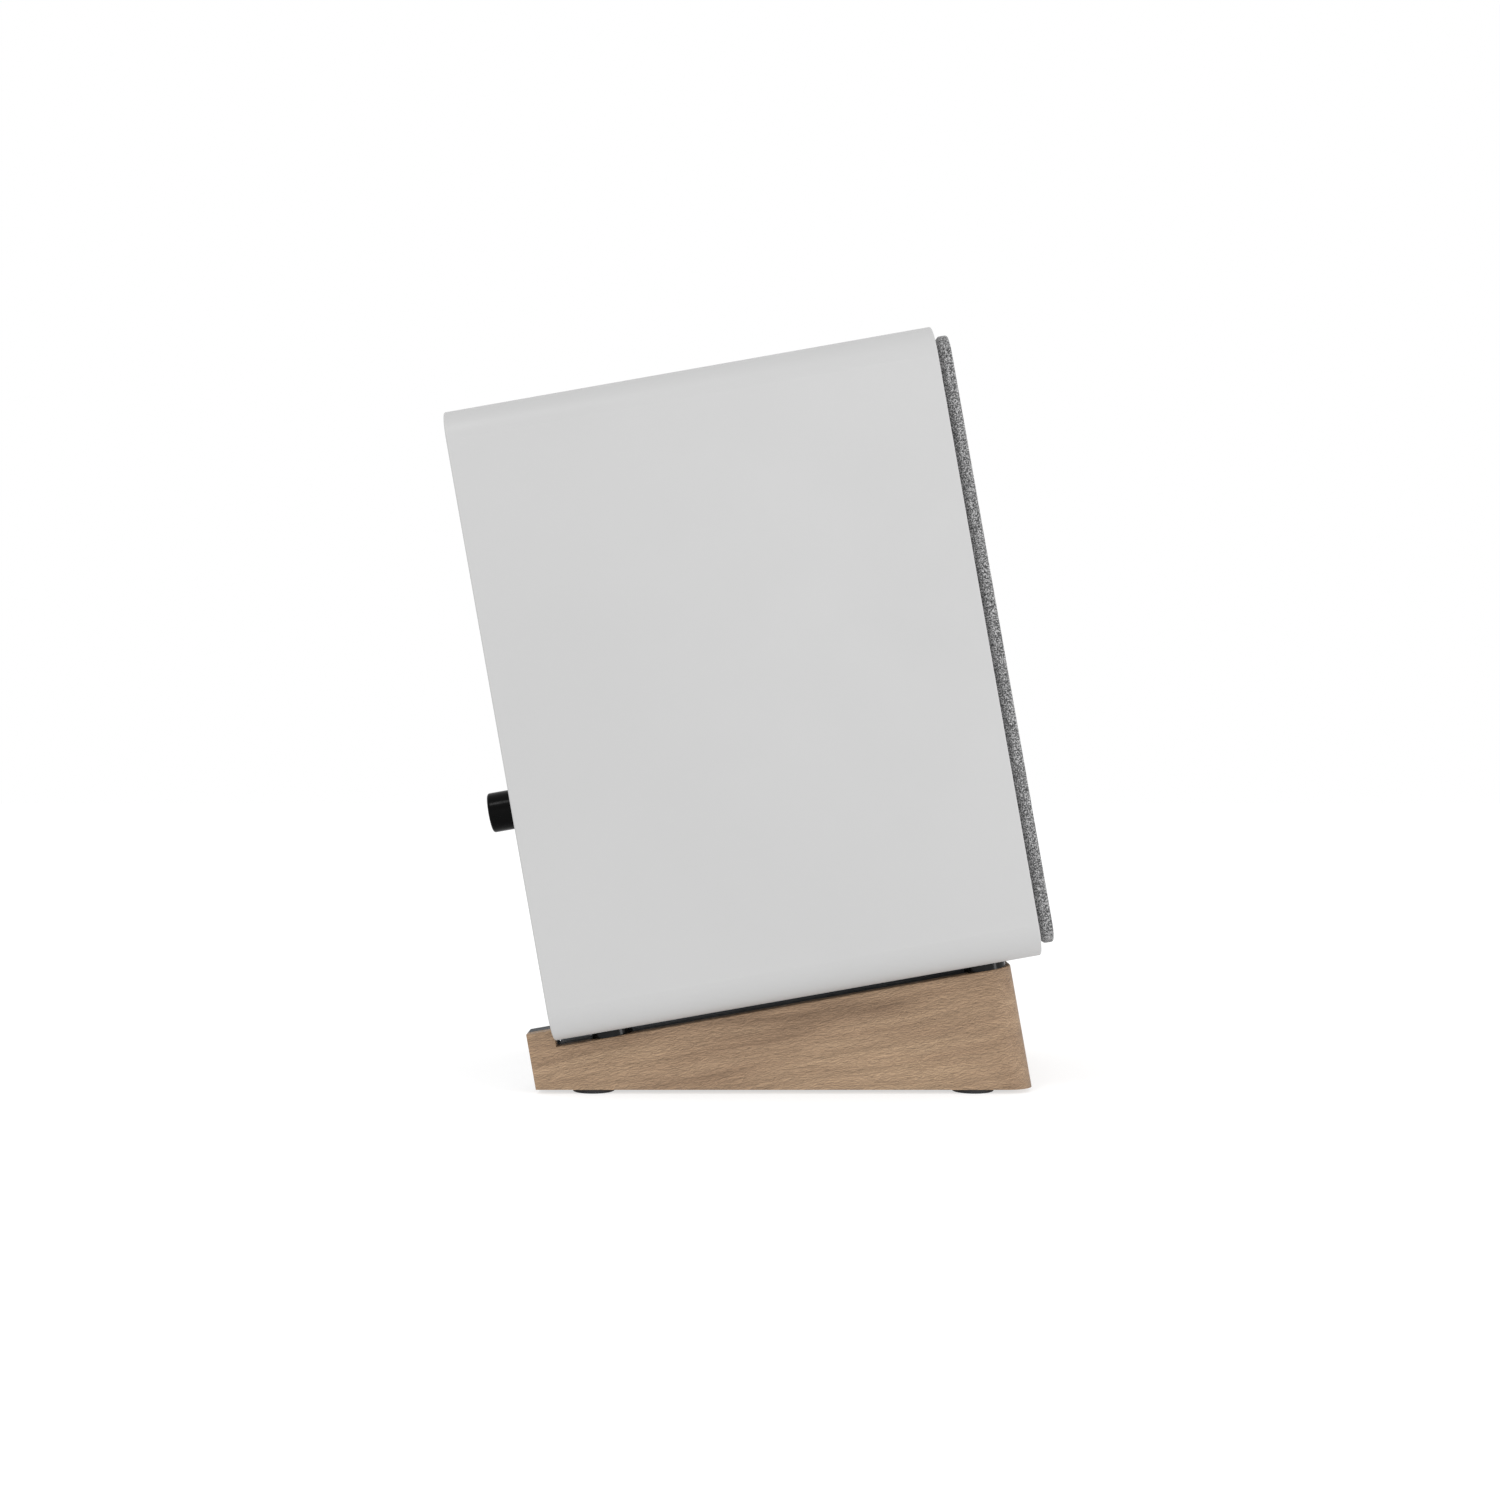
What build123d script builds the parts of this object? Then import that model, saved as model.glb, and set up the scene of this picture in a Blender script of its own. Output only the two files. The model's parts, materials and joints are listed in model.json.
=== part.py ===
from build123d import *
import math
import os

# A powered bookshelf speaker, leaning back on its wedge-shaped desk stand.
# Millimetres. X runs across, the front faces -Y, +Z is up, and the origin lies on the
# table under the middle of the outer box. The cabinet, its drivers, its grille and the
# stand's seat are drawn in a leaning frame: x across, y rearwards and z up along the
# cabinet, from the middle of the cabinet's underside.

# ---------------------------------------------------------------- driving dimensions
TILT = 10.0  # degrees that the seat and the cabinet lean back

WIDTH, DEPTH, HEIGHT = 148.0, 180.0, 233.0  # cabinet outside
WALL = 12.0  # sleeve board
EDGE_RADIUS = 12.0  # the four long edges of the sleeve
INNER_RADIUS = 2.0  # inside corners of the sleeve
RIM_RADIUS = 0.5  # eased front and rear rims
BAFFLE_T, PANEL_T = 15.0, 12.0
FRONT, REAR = -DEPTH / 2, DEPTH / 2
CABINET_FOOT_R, CABINET_FOOT_T = 7.75, 2.6
CABINET_FOOT_X, CABINET_FOOT_Y = 53.0, 70.0

GRILLE_W, GRILLE_H, GRILLE_T = 141.0, 225.0, 5.15
GRILLE_GAP = 0.3  # between the baffle and the back of the grille
GRILLE_CORNER, GRILLE_CHAMFER, GRILLE_ROUND = 8.5, 1.9, 0.8
CLOTH_T = 0.45
GRILLE_BORDER, GRILLE_BAR = 10.5, 8.0  # width of the frame's rim and of its crossbar
WINDOW_CORNER = 30.0
HEM_SETBACK = 2.0  # the cloth's hem stops this far short of the frame's inner edge
GRILLE_MAGNET_R, GRILLE_MAGNET_T = 4.0, 2.0
MAGNET_X, MAGNET_Z = 55.0, 97.5  # from the middle of the baffle
BAFFLE_MAGNET_R, BAFFLE_MAGNET_T, MAGNET_SKIN = 5.0, 3.0, 1.5

STAND_W, STAND_L = 122.0, 180.0
WOOD_T, LINER_T = 6.0, 10.0  # outer wood band and the dark layer inside it
STAND_CORNER = 9.5
LINER_CORNER = 2.0  # inside corners of the dark layer
STAND_REAR_RISE = 14.2  # rear face, from the underside to the seat
STAND_OVERHANG = 10.4  # the stand's rear face lies this far behind the cabinet
POST_H, POST_GAP = 6.3, 0.35  # stops behind the cabinet
WOOD_EASE = 0.5
STAND_DROP = 60.0  # deeper than the wedge at its front
PAD_R, PAD_T, PAD_X = 7.75, 1.5, 53.0
PAD_FRONT_Y, PAD_REAR_Y = -82.8, 57.4

WOOFER_Z, WOOFER_R = 75.0, 59.0
WOOFER_FLANGE_T, GASKET_T = 4.5, 1.0
WOOFER_HOLE_R, WOOFER_SCREW_R = 50.2, 55.2
BASKET_WINDOWS, BASKET_WINDOW_ARC = 6, 40.0
CONE_R, COIL_R = 38.4, 13.0
TWEETER_Z, TWEETER_R, TWEETER_T = 180.0, 38.0, 5.0
TWEETER_HOLE_R, TWEETER_SCREW_R = 28.0, 33.2
REBATE_GAP = 0.3

PORT_Z, PORT_BORE_R, PORT_WALL, PORT_IN = 186.0, 18.0, 2.0, 0.0
PORT_MOUTH_R, PORT_NECK_R, PORT_FLANGE_R, PORT_FLANGE_T = 25.0, 26.6, 29.5, 2.0

AMP_W, AMP_H, AMP_T, AMP_CORNER, AMP_Z = 104.0, 134.0, 2.0, 4.0, 85.4
AMP_CUT_W, AMP_CUT_H = 92.0, 122.0
AMP_SCREW_X, AMP_SCREW_Z = 49.0, 64.0
PLATE_IN = REAR - AMP_T

KNOB_Z, KNOB_R = 85.4, 7.85
KNOB_BASE, KNOB_END = REAR + 1.2, REAR + 16.9
SHAFT_R, BUSH_R, POT_R = 3.0, 3.5, 8.25
BUSH_END, SHAFT_IN, SHAFT_END = REAR + 6.0, REAR - 8.0, REAR + 13.5
POT_DEPTH = 9.0
NUT_FLATS, NUT_T = 10.0, 2.0
RUNNING_GAP = 0.05

RCA_Z, RCA_X = 128.0, (12.0, 31.0)
RCA_BORE_R, RCA_CORE_R, RCA_STEM_R, RCA_SHELL_R, RCA_COLLAR_R = 1.65, 3.3, 3.8, 4.15, 5.0
RCA_END = REAR + 8.5
AUX_X, AUX_Z, AUX_BORE_R, AUX_BUSH_R, AUX_NUT_R = -27.0, 128.0, 1.8, 3.0, 4.2

CLIP_X, CLIP_Z, CLIP_W, CLIP_H = -26.0, 48.0, 34.0, 30.0
CLIP_PITCH, CLIP_POCKET_W = 16.0, 12.0
LEVER_W, LEVER_PIN_R = 11.4, 1.2
LEVER_Y, LEVER_Z = REAR - 4.0, 40.0  # the levers' pivot

SWITCH_X, SWITCH_Z, SWITCH_PIVOT_Y = 1.0, 48.0, REAR - 1.2
SWITCH_W, SWITCH_H, SWITCH_LEAN = 10.8, 17.0, 9.0
ROCKER_W, ROCKER_PIN_R = 8.0, 1.0

INLET_X, INLET_Z = 28.0, 48.0
INLET_SLOT_W, INLET_SLOT_H, INLET_DEEP = 15.6, 8.2, 12.0
INLET_PIN_R, INLET_PIN_PITCH = 1.2, 8.6

BUTTON_X, BUTTON_Z, BUTTON_R = -27.0, 100.0, 3.5
LED_X, LED_Z, LED_R = 0.0, 112.0, 1.5
BOARD_Y, BOARD_T = REAR - 24.0, 1.6

SCREW_SHANK_GAP = 0.05

# ------------------------------------------------------------------ frame and helpers
SIN, COS = math.sin(math.radians(TILT)), math.cos(math.radians(TILT))
REARWARD, UP = Vector(0, COS, -SIN), Vector(0, SIN, COS)
SEAT_Z = -CABINET_FOOT_T
STAND_REAR = REAR + STAND_OVERHANG
STAND_FRONT = STAND_REAR - STAND_L

# The outer box runs from the grille's lower front edge to the cabinet's upper rear edge.
GRILLE_FRONT = FRONT - GRILLE_GAP - GRILLE_T
GRILLE_LOW = (HEIGHT - GRILLE_H) / 2
front_reach = (GRILLE_FRONT + GRILLE_ROUND) * COS + (GRILLE_LOW + GRILLE_ROUND) * SIN - GRILLE_ROUND
rear_reach = (REAR - RIM_RADIUS) * COS + (HEIGHT - RIM_RADIUS) * SIN + RIM_RADIUS
CABINET_Y = -(front_reach + rear_reach) / 2
CABINET_Z = PAD_T + (STAND_REAR_RISE + CABINET_FOOT_T) * COS + STAND_REAR * SIN
CABINET = Plane(origin=(0, CABINET_Y, CABINET_Z), x_dir=(1, 0, 0), z_dir=UP)
DEPTH_AXIS = Axis((0, 0, 0), REARWARD)


def at(x, y, z):
    """A point of the leaning frame."""
    return CABINET.from_local_coords(Vector(x, y, z))


def facing(y, x=0.0, z=0.0):
    """A plane across the depth: sketch x across, sketch y up, normal to the front."""
    return Plane(origin=at(x, y, z), x_dir=(1, 0, 0), z_dir=-REARWARD)


def plan(z, x=0.0, y=0.0):
    """A plane parallel to the seat: sketch x across, sketch y rearwards."""
    return Plane(origin=at(x, y, z), x_dir=(1, 0, 0), z_dir=UP)


def side(x, y=0.0, z=0.0):
    """A plane parallel to the cabinet's sides: sketch x rearwards, sketch y up."""
    return Plane(origin=at(x, y, z), x_dir=REARWARD, z_dir=(1, 0, 0))


def depth_axis(x, z):
    """The rearward axis through x and z."""
    return Axis(at(x, 0, z), REARWARD)


def outline(plane, points):
    """A closed straight-sided face on a plane."""
    with BuildSketch(plane) as face:
        with BuildLine():
            Polyline(*points, close=True)
        make_face()
    return face.sketch


def section(points, x, z, y=0.0):
    """Half of a turned piece: (radius, distance rearwards of y) about the axis at x, z."""
    return outline(plan(z, x, y), points)


def tube(inner, outer, start, end):
    """The half section of a plain ring."""
    return [(inner, start), (outer, start), (outer, end), (inner, end)]


def turned(points, x, z, y=0.0):
    """A piece turned from one straight-sided section."""
    with BuildPart() as piece:
        revolve(section(points, x, z, y), axis=depth_axis(x, z))
    return piece.part


def hexagon(flats, x, z, start, end, bore):
    """A nut on the rear face."""
    with BuildPart() as nut:
        with BuildSketch(facing(end, x, z)):
            RegularPolygon(flats / 2, 6, major_radius=False)
            Circle(bore, mode=Mode.SUBTRACT)
        extrude(amount=start - end)
    return nut.part


def pan_screw(x, z, seat, head_r, head_t, shank_r, length, outward):
    """A pan-head screw, seated at depth seat, its head towards outward (1 rear, -1 front)."""
    head, tip = seat + outward * head_t, seat - outward * length
    with BuildPart() as screw:
        add(turned([(0, head), (head_r * 0.7, head), (head_r, head - outward * head_t * 0.6),
                    (head_r, seat), (shank_r, seat), (shank_r, tip), (0, tip)], x, z))
        with BuildSketch(facing(head, x, z)):
            Rectangle(head_r * 1.2, head_r * 0.28)
            Rectangle(head_r * 0.28, head_r * 1.2)
        extrude(amount=outward * head_t * 0.55, mode=Mode.SUBTRACT)
    return screw.part


def end_edges(part, last):
    """The outer rim edges of a part's front (last False) or rear (last True) face."""
    face = part.faces().sort_by(DEPTH_AXIS)[-1 if last else 0]
    return face.outer_wire().edges()


def save(builder, name):
    """Label a finished piece and write it."""
    builder.part.label = name
    export_step(builder.part, f"parts/{name}.step")


os.makedirs("parts", exist_ok=True)

# -------------------------------------------------------------------------- the stand


def tongue(inset, corner):
    """The stand's plan drawn in by inset, rounded in front and square at its open rear."""
    half, front = STAND_W / 2 - inset, STAND_FRONT + inset
    with BuildSketch(plan(SEAT_Z)) as face:
        with BuildLine():
            FilletPolyline((-half, STAND_REAR), (-half, front), (half, front), (half, STAND_REAR),
                           radius=corner)
            Line((-half, STAND_REAR), (half, STAND_REAR))
        make_face()
    return face.sketch


def stand_layer(outer_inset, outer_corner, inner_inset, inner_corner):
    """One layer of the U-shaped wedge: level underside, leaning seat, raised rear posts."""
    with BuildPart() as layer:
        extrude(tongue(outer_inset, outer_corner), amount=-STAND_DROP)
        extrude(tongue(outer_inset, outer_corner), amount=POST_H)
        post_front = REAR + POST_GAP
        seat_length = post_front - STAND_FRONT
        with BuildSketch(plan(SEAT_Z, y=post_front - seat_length / 2)):
            Rectangle(STAND_W + 1, seat_length)
        extrude(amount=POST_H, mode=Mode.SUBTRACT)
        extrude(tongue(inner_inset, inner_corner), amount=STAND_DROP, both=True, mode=Mode.SUBTRACT)
        split(bisect_by=Plane.XY.offset(PAD_T), keep=Keep.TOP)
    return layer.part


with BuildPart() as stand_wood_band:
    add(stand_layer(0, STAND_CORNER, WOOD_T, STAND_CORNER - WOOD_T))
    front_top = stand_wood_band.faces().sort_by(DEPTH_AXIS)[0].edges().sort_by(Axis.Z)[-1]
    fillet(front_top, WOOD_EASE)  # the edge runs on along both sides
save(stand_wood_band, "stand_wood_band")

with BuildPart() as stand_inner_frame:
    add(stand_layer(WOOD_T, STAND_CORNER - WOOD_T, WOOD_T + LINER_T, LINER_CORNER))
save(stand_inner_frame, "stand_inner_frame")

with BuildPart() as stand_feet:
    with BuildSketch():
        with Locations((-PAD_X, PAD_FRONT_Y), (PAD_X, PAD_FRONT_Y), (-PAD_X, PAD_REAR_Y), (PAD_X, PAD_REAR_Y)):
            Circle(PAD_R)
    extrude(amount=PAD_T)
    fillet(stand_feet.edges().filter_by(GeomType.CIRCLE).group_by(Axis.Z)[0], PAD_T * 0.3)
save(stand_feet, "stand_feet")

# ------------------------------------------------------------------------ the cabinet
BOARD_W, BOARD_H = WIDTH - 2 * WALL, HEIGHT - 2 * WALL

with BuildPart() as cabinet_sleeve:
    with BuildSketch(facing(FRONT, z=HEIGHT / 2)):
        RectangleRounded(WIDTH, HEIGHT, EDGE_RADIUS)
        RectangleRounded(BOARD_W, BOARD_H, INNER_RADIUS, mode=Mode.SUBTRACT)
    extrude(amount=-DEPTH)
    fillet(end_edges(cabinet_sleeve, False), RIM_RADIUS)
    fillet(end_edges(cabinet_sleeve, True), RIM_RADIUS)
save(cabinet_sleeve, "cabinet_sleeve")

WOOFER_REBATE, PILOT_R, PILOT_DEEP = WOOFER_FLANGE_T + GASKET_T, 1.25, 9.0
magnet_spots = [(sx * MAGNET_X, sz * MAGNET_Z) for sx in (-1, 1) for sz in (-1, 1)]

with BuildPart() as front_baffle:
    with BuildSketch(facing(FRONT, z=HEIGHT / 2)):
        RectangleRounded(BOARD_W, BOARD_H, INNER_RADIUS)
    extrude(amount=-BAFFLE_T)
    with Locations(facing(FRONT, z=WOOFER_Z)):
        CounterBoreHole(WOOFER_HOLE_R, WOOFER_R + REBATE_GAP, WOOFER_REBATE)
    with Locations(facing(FRONT, z=TWEETER_Z)):
        CounterBoreHole(TWEETER_HOLE_R, TWEETER_R + REBATE_GAP, TWEETER_T)
    with BuildSketch(facing(FRONT + WOOFER_REBATE, z=WOOFER_Z)):
        with PolarLocations(WOOFER_SCREW_R, 4, start_angle=45):
            Circle(PILOT_R)
    extrude(amount=-PILOT_DEEP, mode=Mode.SUBTRACT)
    with BuildSketch(facing(FRONT + TWEETER_T, z=TWEETER_Z)):
        with PolarLocations(TWEETER_SCREW_R, 4, start_angle=45):
            Circle(PILOT_R)
    extrude(amount=-PILOT_DEEP, mode=Mode.SUBTRACT)
    with BuildSketch(facing(FRONT + BAFFLE_T, z=HEIGHT / 2)):
        with Locations(*magnet_spots):
            Circle(BAFFLE_MAGNET_R)
    extrude(amount=BAFFLE_T - MAGNET_SKIN, mode=Mode.SUBTRACT)
save(front_baffle, "front_baffle")

with BuildPart() as baffle_magnets:
    with BuildSketch(facing(FRONT + MAGNET_SKIN, z=HEIGHT / 2)):
        with Locations(*magnet_spots):
            Circle(BAFFLE_MAGNET_R)
    extrude(amount=-BAFFLE_MAGNET_T)
save(baffle_magnets, "baffle_magnets")

amp_screw_spots = [(0.0, -AMP_SCREW_Z), (0.0, AMP_SCREW_Z)]
amp_screw_spots += [(sx * AMP_SCREW_X, z) for sx in (-1, 1) for z in (-AMP_SCREW_Z, 0.0, AMP_SCREW_Z)]

with BuildPart() as rear_panel:
    with BuildSketch(facing(REAR, z=HEIGHT / 2)):
        RectangleRounded(BOARD_W, BOARD_H, INNER_RADIUS)
    extrude(amount=PANEL_T)
    with BuildSketch(facing(REAR, z=PORT_Z)):
        Circle(PORT_NECK_R)
    extrude(amount=PANEL_T, mode=Mode.SUBTRACT)
    with BuildSketch(facing(REAR, z=AMP_Z)):
        RectangleRounded(AMP_W + REBATE_GAP, AMP_H + REBATE_GAP, AMP_CORNER)
    extrude(amount=AMP_T, mode=Mode.SUBTRACT)
    with BuildSketch(facing(REAR, z=AMP_Z)):
        RectangleRounded(AMP_CUT_W, AMP_CUT_H, AMP_CORNER - 1)
    extrude(amount=PANEL_T, mode=Mode.SUBTRACT)
    with BuildSketch(facing(PLATE_IN, z=AMP_Z)):
        with Locations(*amp_screw_spots):
            Circle(PILOT_R)
    extrude(amount=PILOT_DEEP, mode=Mode.SUBTRACT)
save(rear_panel, "rear_panel")

BRACE_Z, BRACE_T, BRACE_L, BRACE_WINDOW = 135.0, 10.0, 105.0, (44.0, 76.0, 10.0)

with BuildPart() as shelf_brace:
    with BuildSketch(plan(BRACE_Z, y=FRONT + BAFFLE_T + BRACE_L / 2)):
        Rectangle(BOARD_W, BRACE_L)
        with Locations((-BOARD_W / 4, 0), (BOARD_W / 4, 0)):
            RectangleRounded(*BRACE_WINDOW, mode=Mode.SUBTRACT)
    extrude(amount=BRACE_T)
save(shelf_brace, "shelf_brace")

FOAM_T, FOAM_GAP, FOAM_Y, FOAM_L, FOAM_H = 8.0, 0.5, -68.0, 104.0, 120.0
foam_half = BOARD_W / 2 - FOAM_GAP
foam_low = WALL + FOAM_GAP

with BuildPart() as damping_foam:
    extrude(outline(facing(FOAM_Y), [
        (-foam_half, foam_low + FOAM_H), (-foam_half, foam_low + INNER_RADIUS),
        (-foam_half + INNER_RADIUS, foam_low), (foam_half - INNER_RADIUS, foam_low),
        (foam_half, foam_low + INNER_RADIUS), (foam_half, foam_low + FOAM_H),
        (foam_half - FOAM_T, foam_low + FOAM_H), (foam_half - FOAM_T, foam_low + FOAM_T),
        (-foam_half + FOAM_T, foam_low + FOAM_T), (-foam_half + FOAM_T, foam_low + FOAM_H),
    ]), amount=-FOAM_L)
save(damping_foam, "damping_foam")

with BuildPart() as cabinet_feet:
    with BuildSketch(plan(SEAT_Z)):
        with GridLocations(2 * CABINET_FOOT_X, 2 * CABINET_FOOT_Y, 2, 2):
            Circle(CABINET_FOOT_R)
    extrude(amount=CABINET_FOOT_T)
save(cabinet_feet, "cabinet_feet")

with BuildPart() as port_tube:
    with BuildSketch(plan(PORT_Z)):
        with BuildLine():
            straight_end = REAR - 14
            tube_r = PORT_BORE_R + PORT_WALL
            lip = REAR + PORT_FLANGE_T
            Line((PORT_BORE_R, PORT_IN), (PORT_BORE_R, straight_end))
            ThreePointArc((PORT_BORE_R, straight_end), (PORT_BORE_R + 1.9, REAR - 5.2), (PORT_MOUTH_R, lip))
            Polyline((PORT_MOUTH_R, lip), (PORT_FLANGE_R - 0.8, lip), (PORT_FLANGE_R, lip - 0.8),
                     (PORT_FLANGE_R, REAR), (PORT_NECK_R - 0.1, REAR), (PORT_NECK_R - 0.1, REAR - 4),
                     (tube_r, REAR - PANEL_T), (tube_r, PORT_IN), (PORT_BORE_R, PORT_IN))
        make_face()
    revolve(axis=depth_axis(0, PORT_Z))
save(port_tube, "port_tube")

# ------------------------------------------------------------------------- the woofer
# Turned about its axis; the second number of each pair is the depth behind the baffle.
LIP_D, LIP_T = 2.2, 0.6  # the surround's flat lips
LEDGE_D = LIP_D + LIP_T  # step in the flange that carries the outer lip
SPIDER_D, SPIDER_T = 34.2, 0.5
SPIDER_R, SPIDER_LIP_R = 34.8, 31.0
BASE_D, BASE_T = 42.0, 2.0  # the basket's flat base
TOP_PLATE_D, TOP_PLATE_T = BASE_D + BASE_T, 5.0
RING_D, RING_T = TOP_PLATE_D + TOP_PLATE_T, 13.0
YOKE_D, YOKE_T = RING_D + RING_T, 5.0
woofer_axis = depth_axis(0, WOOFER_Z)


def woofer(points):
    """A woofer piece turned from its section."""
    return turned(points, 0, WOOFER_Z, FRONT)


with BuildPart() as woofer_basket:
    add(woofer([
        (51.6, 0), (WOOFER_R - 0.5, 0), (WOOFER_R, 0.5), (WOOFER_R, WOOFER_FLANGE_T), (49.5, WOOFER_FLANGE_T),
        (49.5, 14), (37.5, 36), (37.5, TOP_PLATE_D), (16, TOP_PLATE_D), (16, BASE_D), (30, BASE_D),
        (30, SPIDER_D + SPIDER_T), (35.2, SPIDER_D + SPIDER_T), (47.5, 13.2), (47.5, LEDGE_D), (51.6, LEDGE_D),
    ]))
    for step in range(BASKET_WINDOWS):
        start = step * 360 / BASKET_WINDOWS - BASKET_WINDOW_ARC / 2
        window = section([(31, 15), (60, 15), (60, 33), (31, 33)], 0, WOOFER_Z, FRONT)
        revolve(window.rotate(woofer_axis, start), axis=woofer_axis, revolution_arc=BASKET_WINDOW_ARC,
                mode=Mode.SUBTRACT)
    with BuildSketch(facing(FRONT, z=WOOFER_Z)):
        with PolarLocations(WOOFER_SCREW_R, 4, start_angle=45):
            Circle(1.7)
    extrude(amount=-WOOFER_FLANGE_T, mode=Mode.SUBTRACT)
save(woofer_basket, "woofer_basket")

with BuildPart() as woofer_gasket:
    with BuildSketch(facing(FRONT + WOOFER_FLANGE_T, z=WOOFER_Z)):
        Circle(WOOFER_R - 0.3)
        Circle(WOOFER_HOLE_R + 0.3, mode=Mode.SUBTRACT)
        with PolarLocations(WOOFER_SCREW_R, 4, start_angle=45):
            Circle(1.7, mode=Mode.SUBTRACT)
    extrude(amount=-GASKET_T)
save(woofer_gasket, "woofer_gasket")

ROLL_MID, ROLL_HALF, ROLL_RISE = 43.1, 4.6, 3.1

with BuildPart() as woofer_surround:
    with BuildSketch(plan(WOOFER_Z, y=FRONT)):
        with BuildLine():
            outer_start, inner_end = ROLL_MID + ROLL_HALF, ROLL_MID - ROLL_HALF
            Polyline((outer_start - LIP_T, LEDGE_D), (51.4, LEDGE_D), (51.4, LIP_D), (outer_start, LIP_D))
            ThreePointArc((outer_start, LIP_D), (ROLL_MID, LIP_D - ROLL_RISE), (inner_end, LIP_D))
            Polyline((inner_end, LIP_D), (36.2, LIP_D), (36.2, LEDGE_D), (inner_end + LIP_T, LEDGE_D))
            ThreePointArc((inner_end + LIP_T, LEDGE_D), (ROLL_MID, LEDGE_D - ROLL_RISE),
                          (outer_start - LIP_T, LEDGE_D))
        make_face()
    revolve(axis=woofer_axis)
save(woofer_surround, "woofer_surround")

with BuildPart() as woofer_cone:
    with BuildSketch(plan(WOOFER_Z, y=FRONT)):
        with BuildLine():
            Polyline((36.2, LEDGE_D), (CONE_R, LEDGE_D), (CONE_R, LEDGE_D + 0.7), (36.7, LEDGE_D + 0.7))
            ThreePointArc((36.7, LEDGE_D + 0.7), (24.3, 15.0), (COIL_R, 23.2))
            Line((COIL_R, 23.2), (COIL_R, 22.0))
            ThreePointArc((COIL_R, 22.0), (23.6, 14.2), (36.2, LEDGE_D))
        make_face()
    revolve(axis=woofer_axis)
save(woofer_cone, "woofer_cone")

CAP_R, CAP_EDGE_D, CAP_PEAK_D, CAP_T = 16.0, 19.9, 13.6, 0.6


def dome(edge_r, edge_d, peak_d, thickness, centre_z):
    """A shell between two spheres of one centre, cut off flat at its edge."""
    rise = edge_d - peak_d
    sphere_r = (edge_r**2 + rise**2) / (2 * rise)
    inner_edge_r = math.sqrt((sphere_r - thickness) ** 2 - (sphere_r - rise) ** 2)
    with BuildPart() as shell:
        with BuildSketch(plan(centre_z, y=FRONT)):
            with BuildLine():
                RadiusArc((0, peak_d), (edge_r, edge_d), -sphere_r)
                Line((edge_r, edge_d), (inner_edge_r, edge_d))
                RadiusArc((inner_edge_r, edge_d), (0, peak_d + thickness), sphere_r - thickness)
                Line((0, peak_d + thickness), (0, peak_d))
            make_face()
        revolve(axis=depth_axis(0, centre_z))
    return shell.part


with BuildPart() as woofer_dust_cap:
    add(dome(CAP_R, CAP_EDGE_D, CAP_PEAK_D, CAP_T, WOOFER_Z))
save(woofer_dust_cap, "woofer_dust_cap")

COIL_D, COIL_END, WIRE_T, FORMER_T = 41.0, 52.0, 0.6, 0.4

with BuildPart() as woofer_voice_coil:
    add(woofer([(COIL_R - FORMER_T, 21), (COIL_R, 21), (COIL_R, COIL_D), (COIL_R + WIRE_T, COIL_D),
                (COIL_R + WIRE_T, COIL_END), (COIL_R - FORMER_T, COIL_END)]))
save(woofer_voice_coil, "woofer_voice_coil")

SPIDER_WAVES, SPIDER_RISE, SPIDER_COLLAR_R = 4, 1.1, 15.0
wave_step = (SPIDER_LIP_R - SPIDER_COLLAR_R) / (2 * SPIDER_WAVES + 1)
wave = [(SPIDER_COLLAR_R + (k + 1) * wave_step, (-1) ** k * SPIDER_RISE) for k in range(2 * SPIDER_WAVES)]
spider_front = [(COIL_R, 0), (SPIDER_COLLAR_R, 0), *wave, (SPIDER_LIP_R, 0), (SPIDER_R, 0)]

with BuildPart() as woofer_spider:
    add(woofer([(r, SPIDER_D + d) for r, d in spider_front]
               + [(r, SPIDER_D + SPIDER_T + d) for r, d in reversed(spider_front)]))
save(woofer_spider, "woofer_spider")

with BuildPart() as woofer_top_plate:
    add(woofer(tube(COIL_R + 1.1, 33, TOP_PLATE_D, TOP_PLATE_D + TOP_PLATE_T)))
save(woofer_top_plate, "woofer_top_plate")

with BuildPart() as woofer_magnet:
    add(woofer([(17, RING_D), (34.5, RING_D), (35, RING_D + 0.5), (35, YOKE_D - 0.5), (34.5, YOKE_D), (17, YOKE_D)]))
save(woofer_magnet, "woofer_magnet")

POLE_R, VENT_R = 12.2, 3.5

with BuildPart() as woofer_yoke:
    add(woofer([(VENT_R, TOP_PLATE_D), (POLE_R, TOP_PLATE_D), (POLE_R, YOKE_D), (33, YOKE_D),
                (33, YOKE_D + YOKE_T - 1), (32, YOKE_D + YOKE_T), (VENT_R, YOKE_D + YOKE_T)]))
save(woofer_yoke, "woofer_yoke")

TERMINAL_R, TERMINAL_W, TERMINAL_H = 39.5, 14.0, 11.0

with BuildPart() as woofer_terminals:
    with BuildSketch(facing(FRONT + TOP_PLATE_D, z=WOOFER_Z + TERMINAL_R)):
        Rectangle(TERMINAL_W, TERMINAL_H)
    extrude(amount=-1.5)
save(woofer_terminals, "woofer_terminals")

# ------------------------------------------------------------------------ the tweeter
tweeter_axis = depth_axis(0, TWEETER_Z)
DOME_R, DOME_D, DOME_PEAK, DOME_T = 13.0, 5.2, 0.7, 0.4
HORN_R, THROAT_R, THROAT_D = 29.0, 17.0, 3.6


def tweeter(points):
    """A tweeter piece turned from its section."""
    return turned(points, 0, TWEETER_Z, FRONT)


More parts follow.
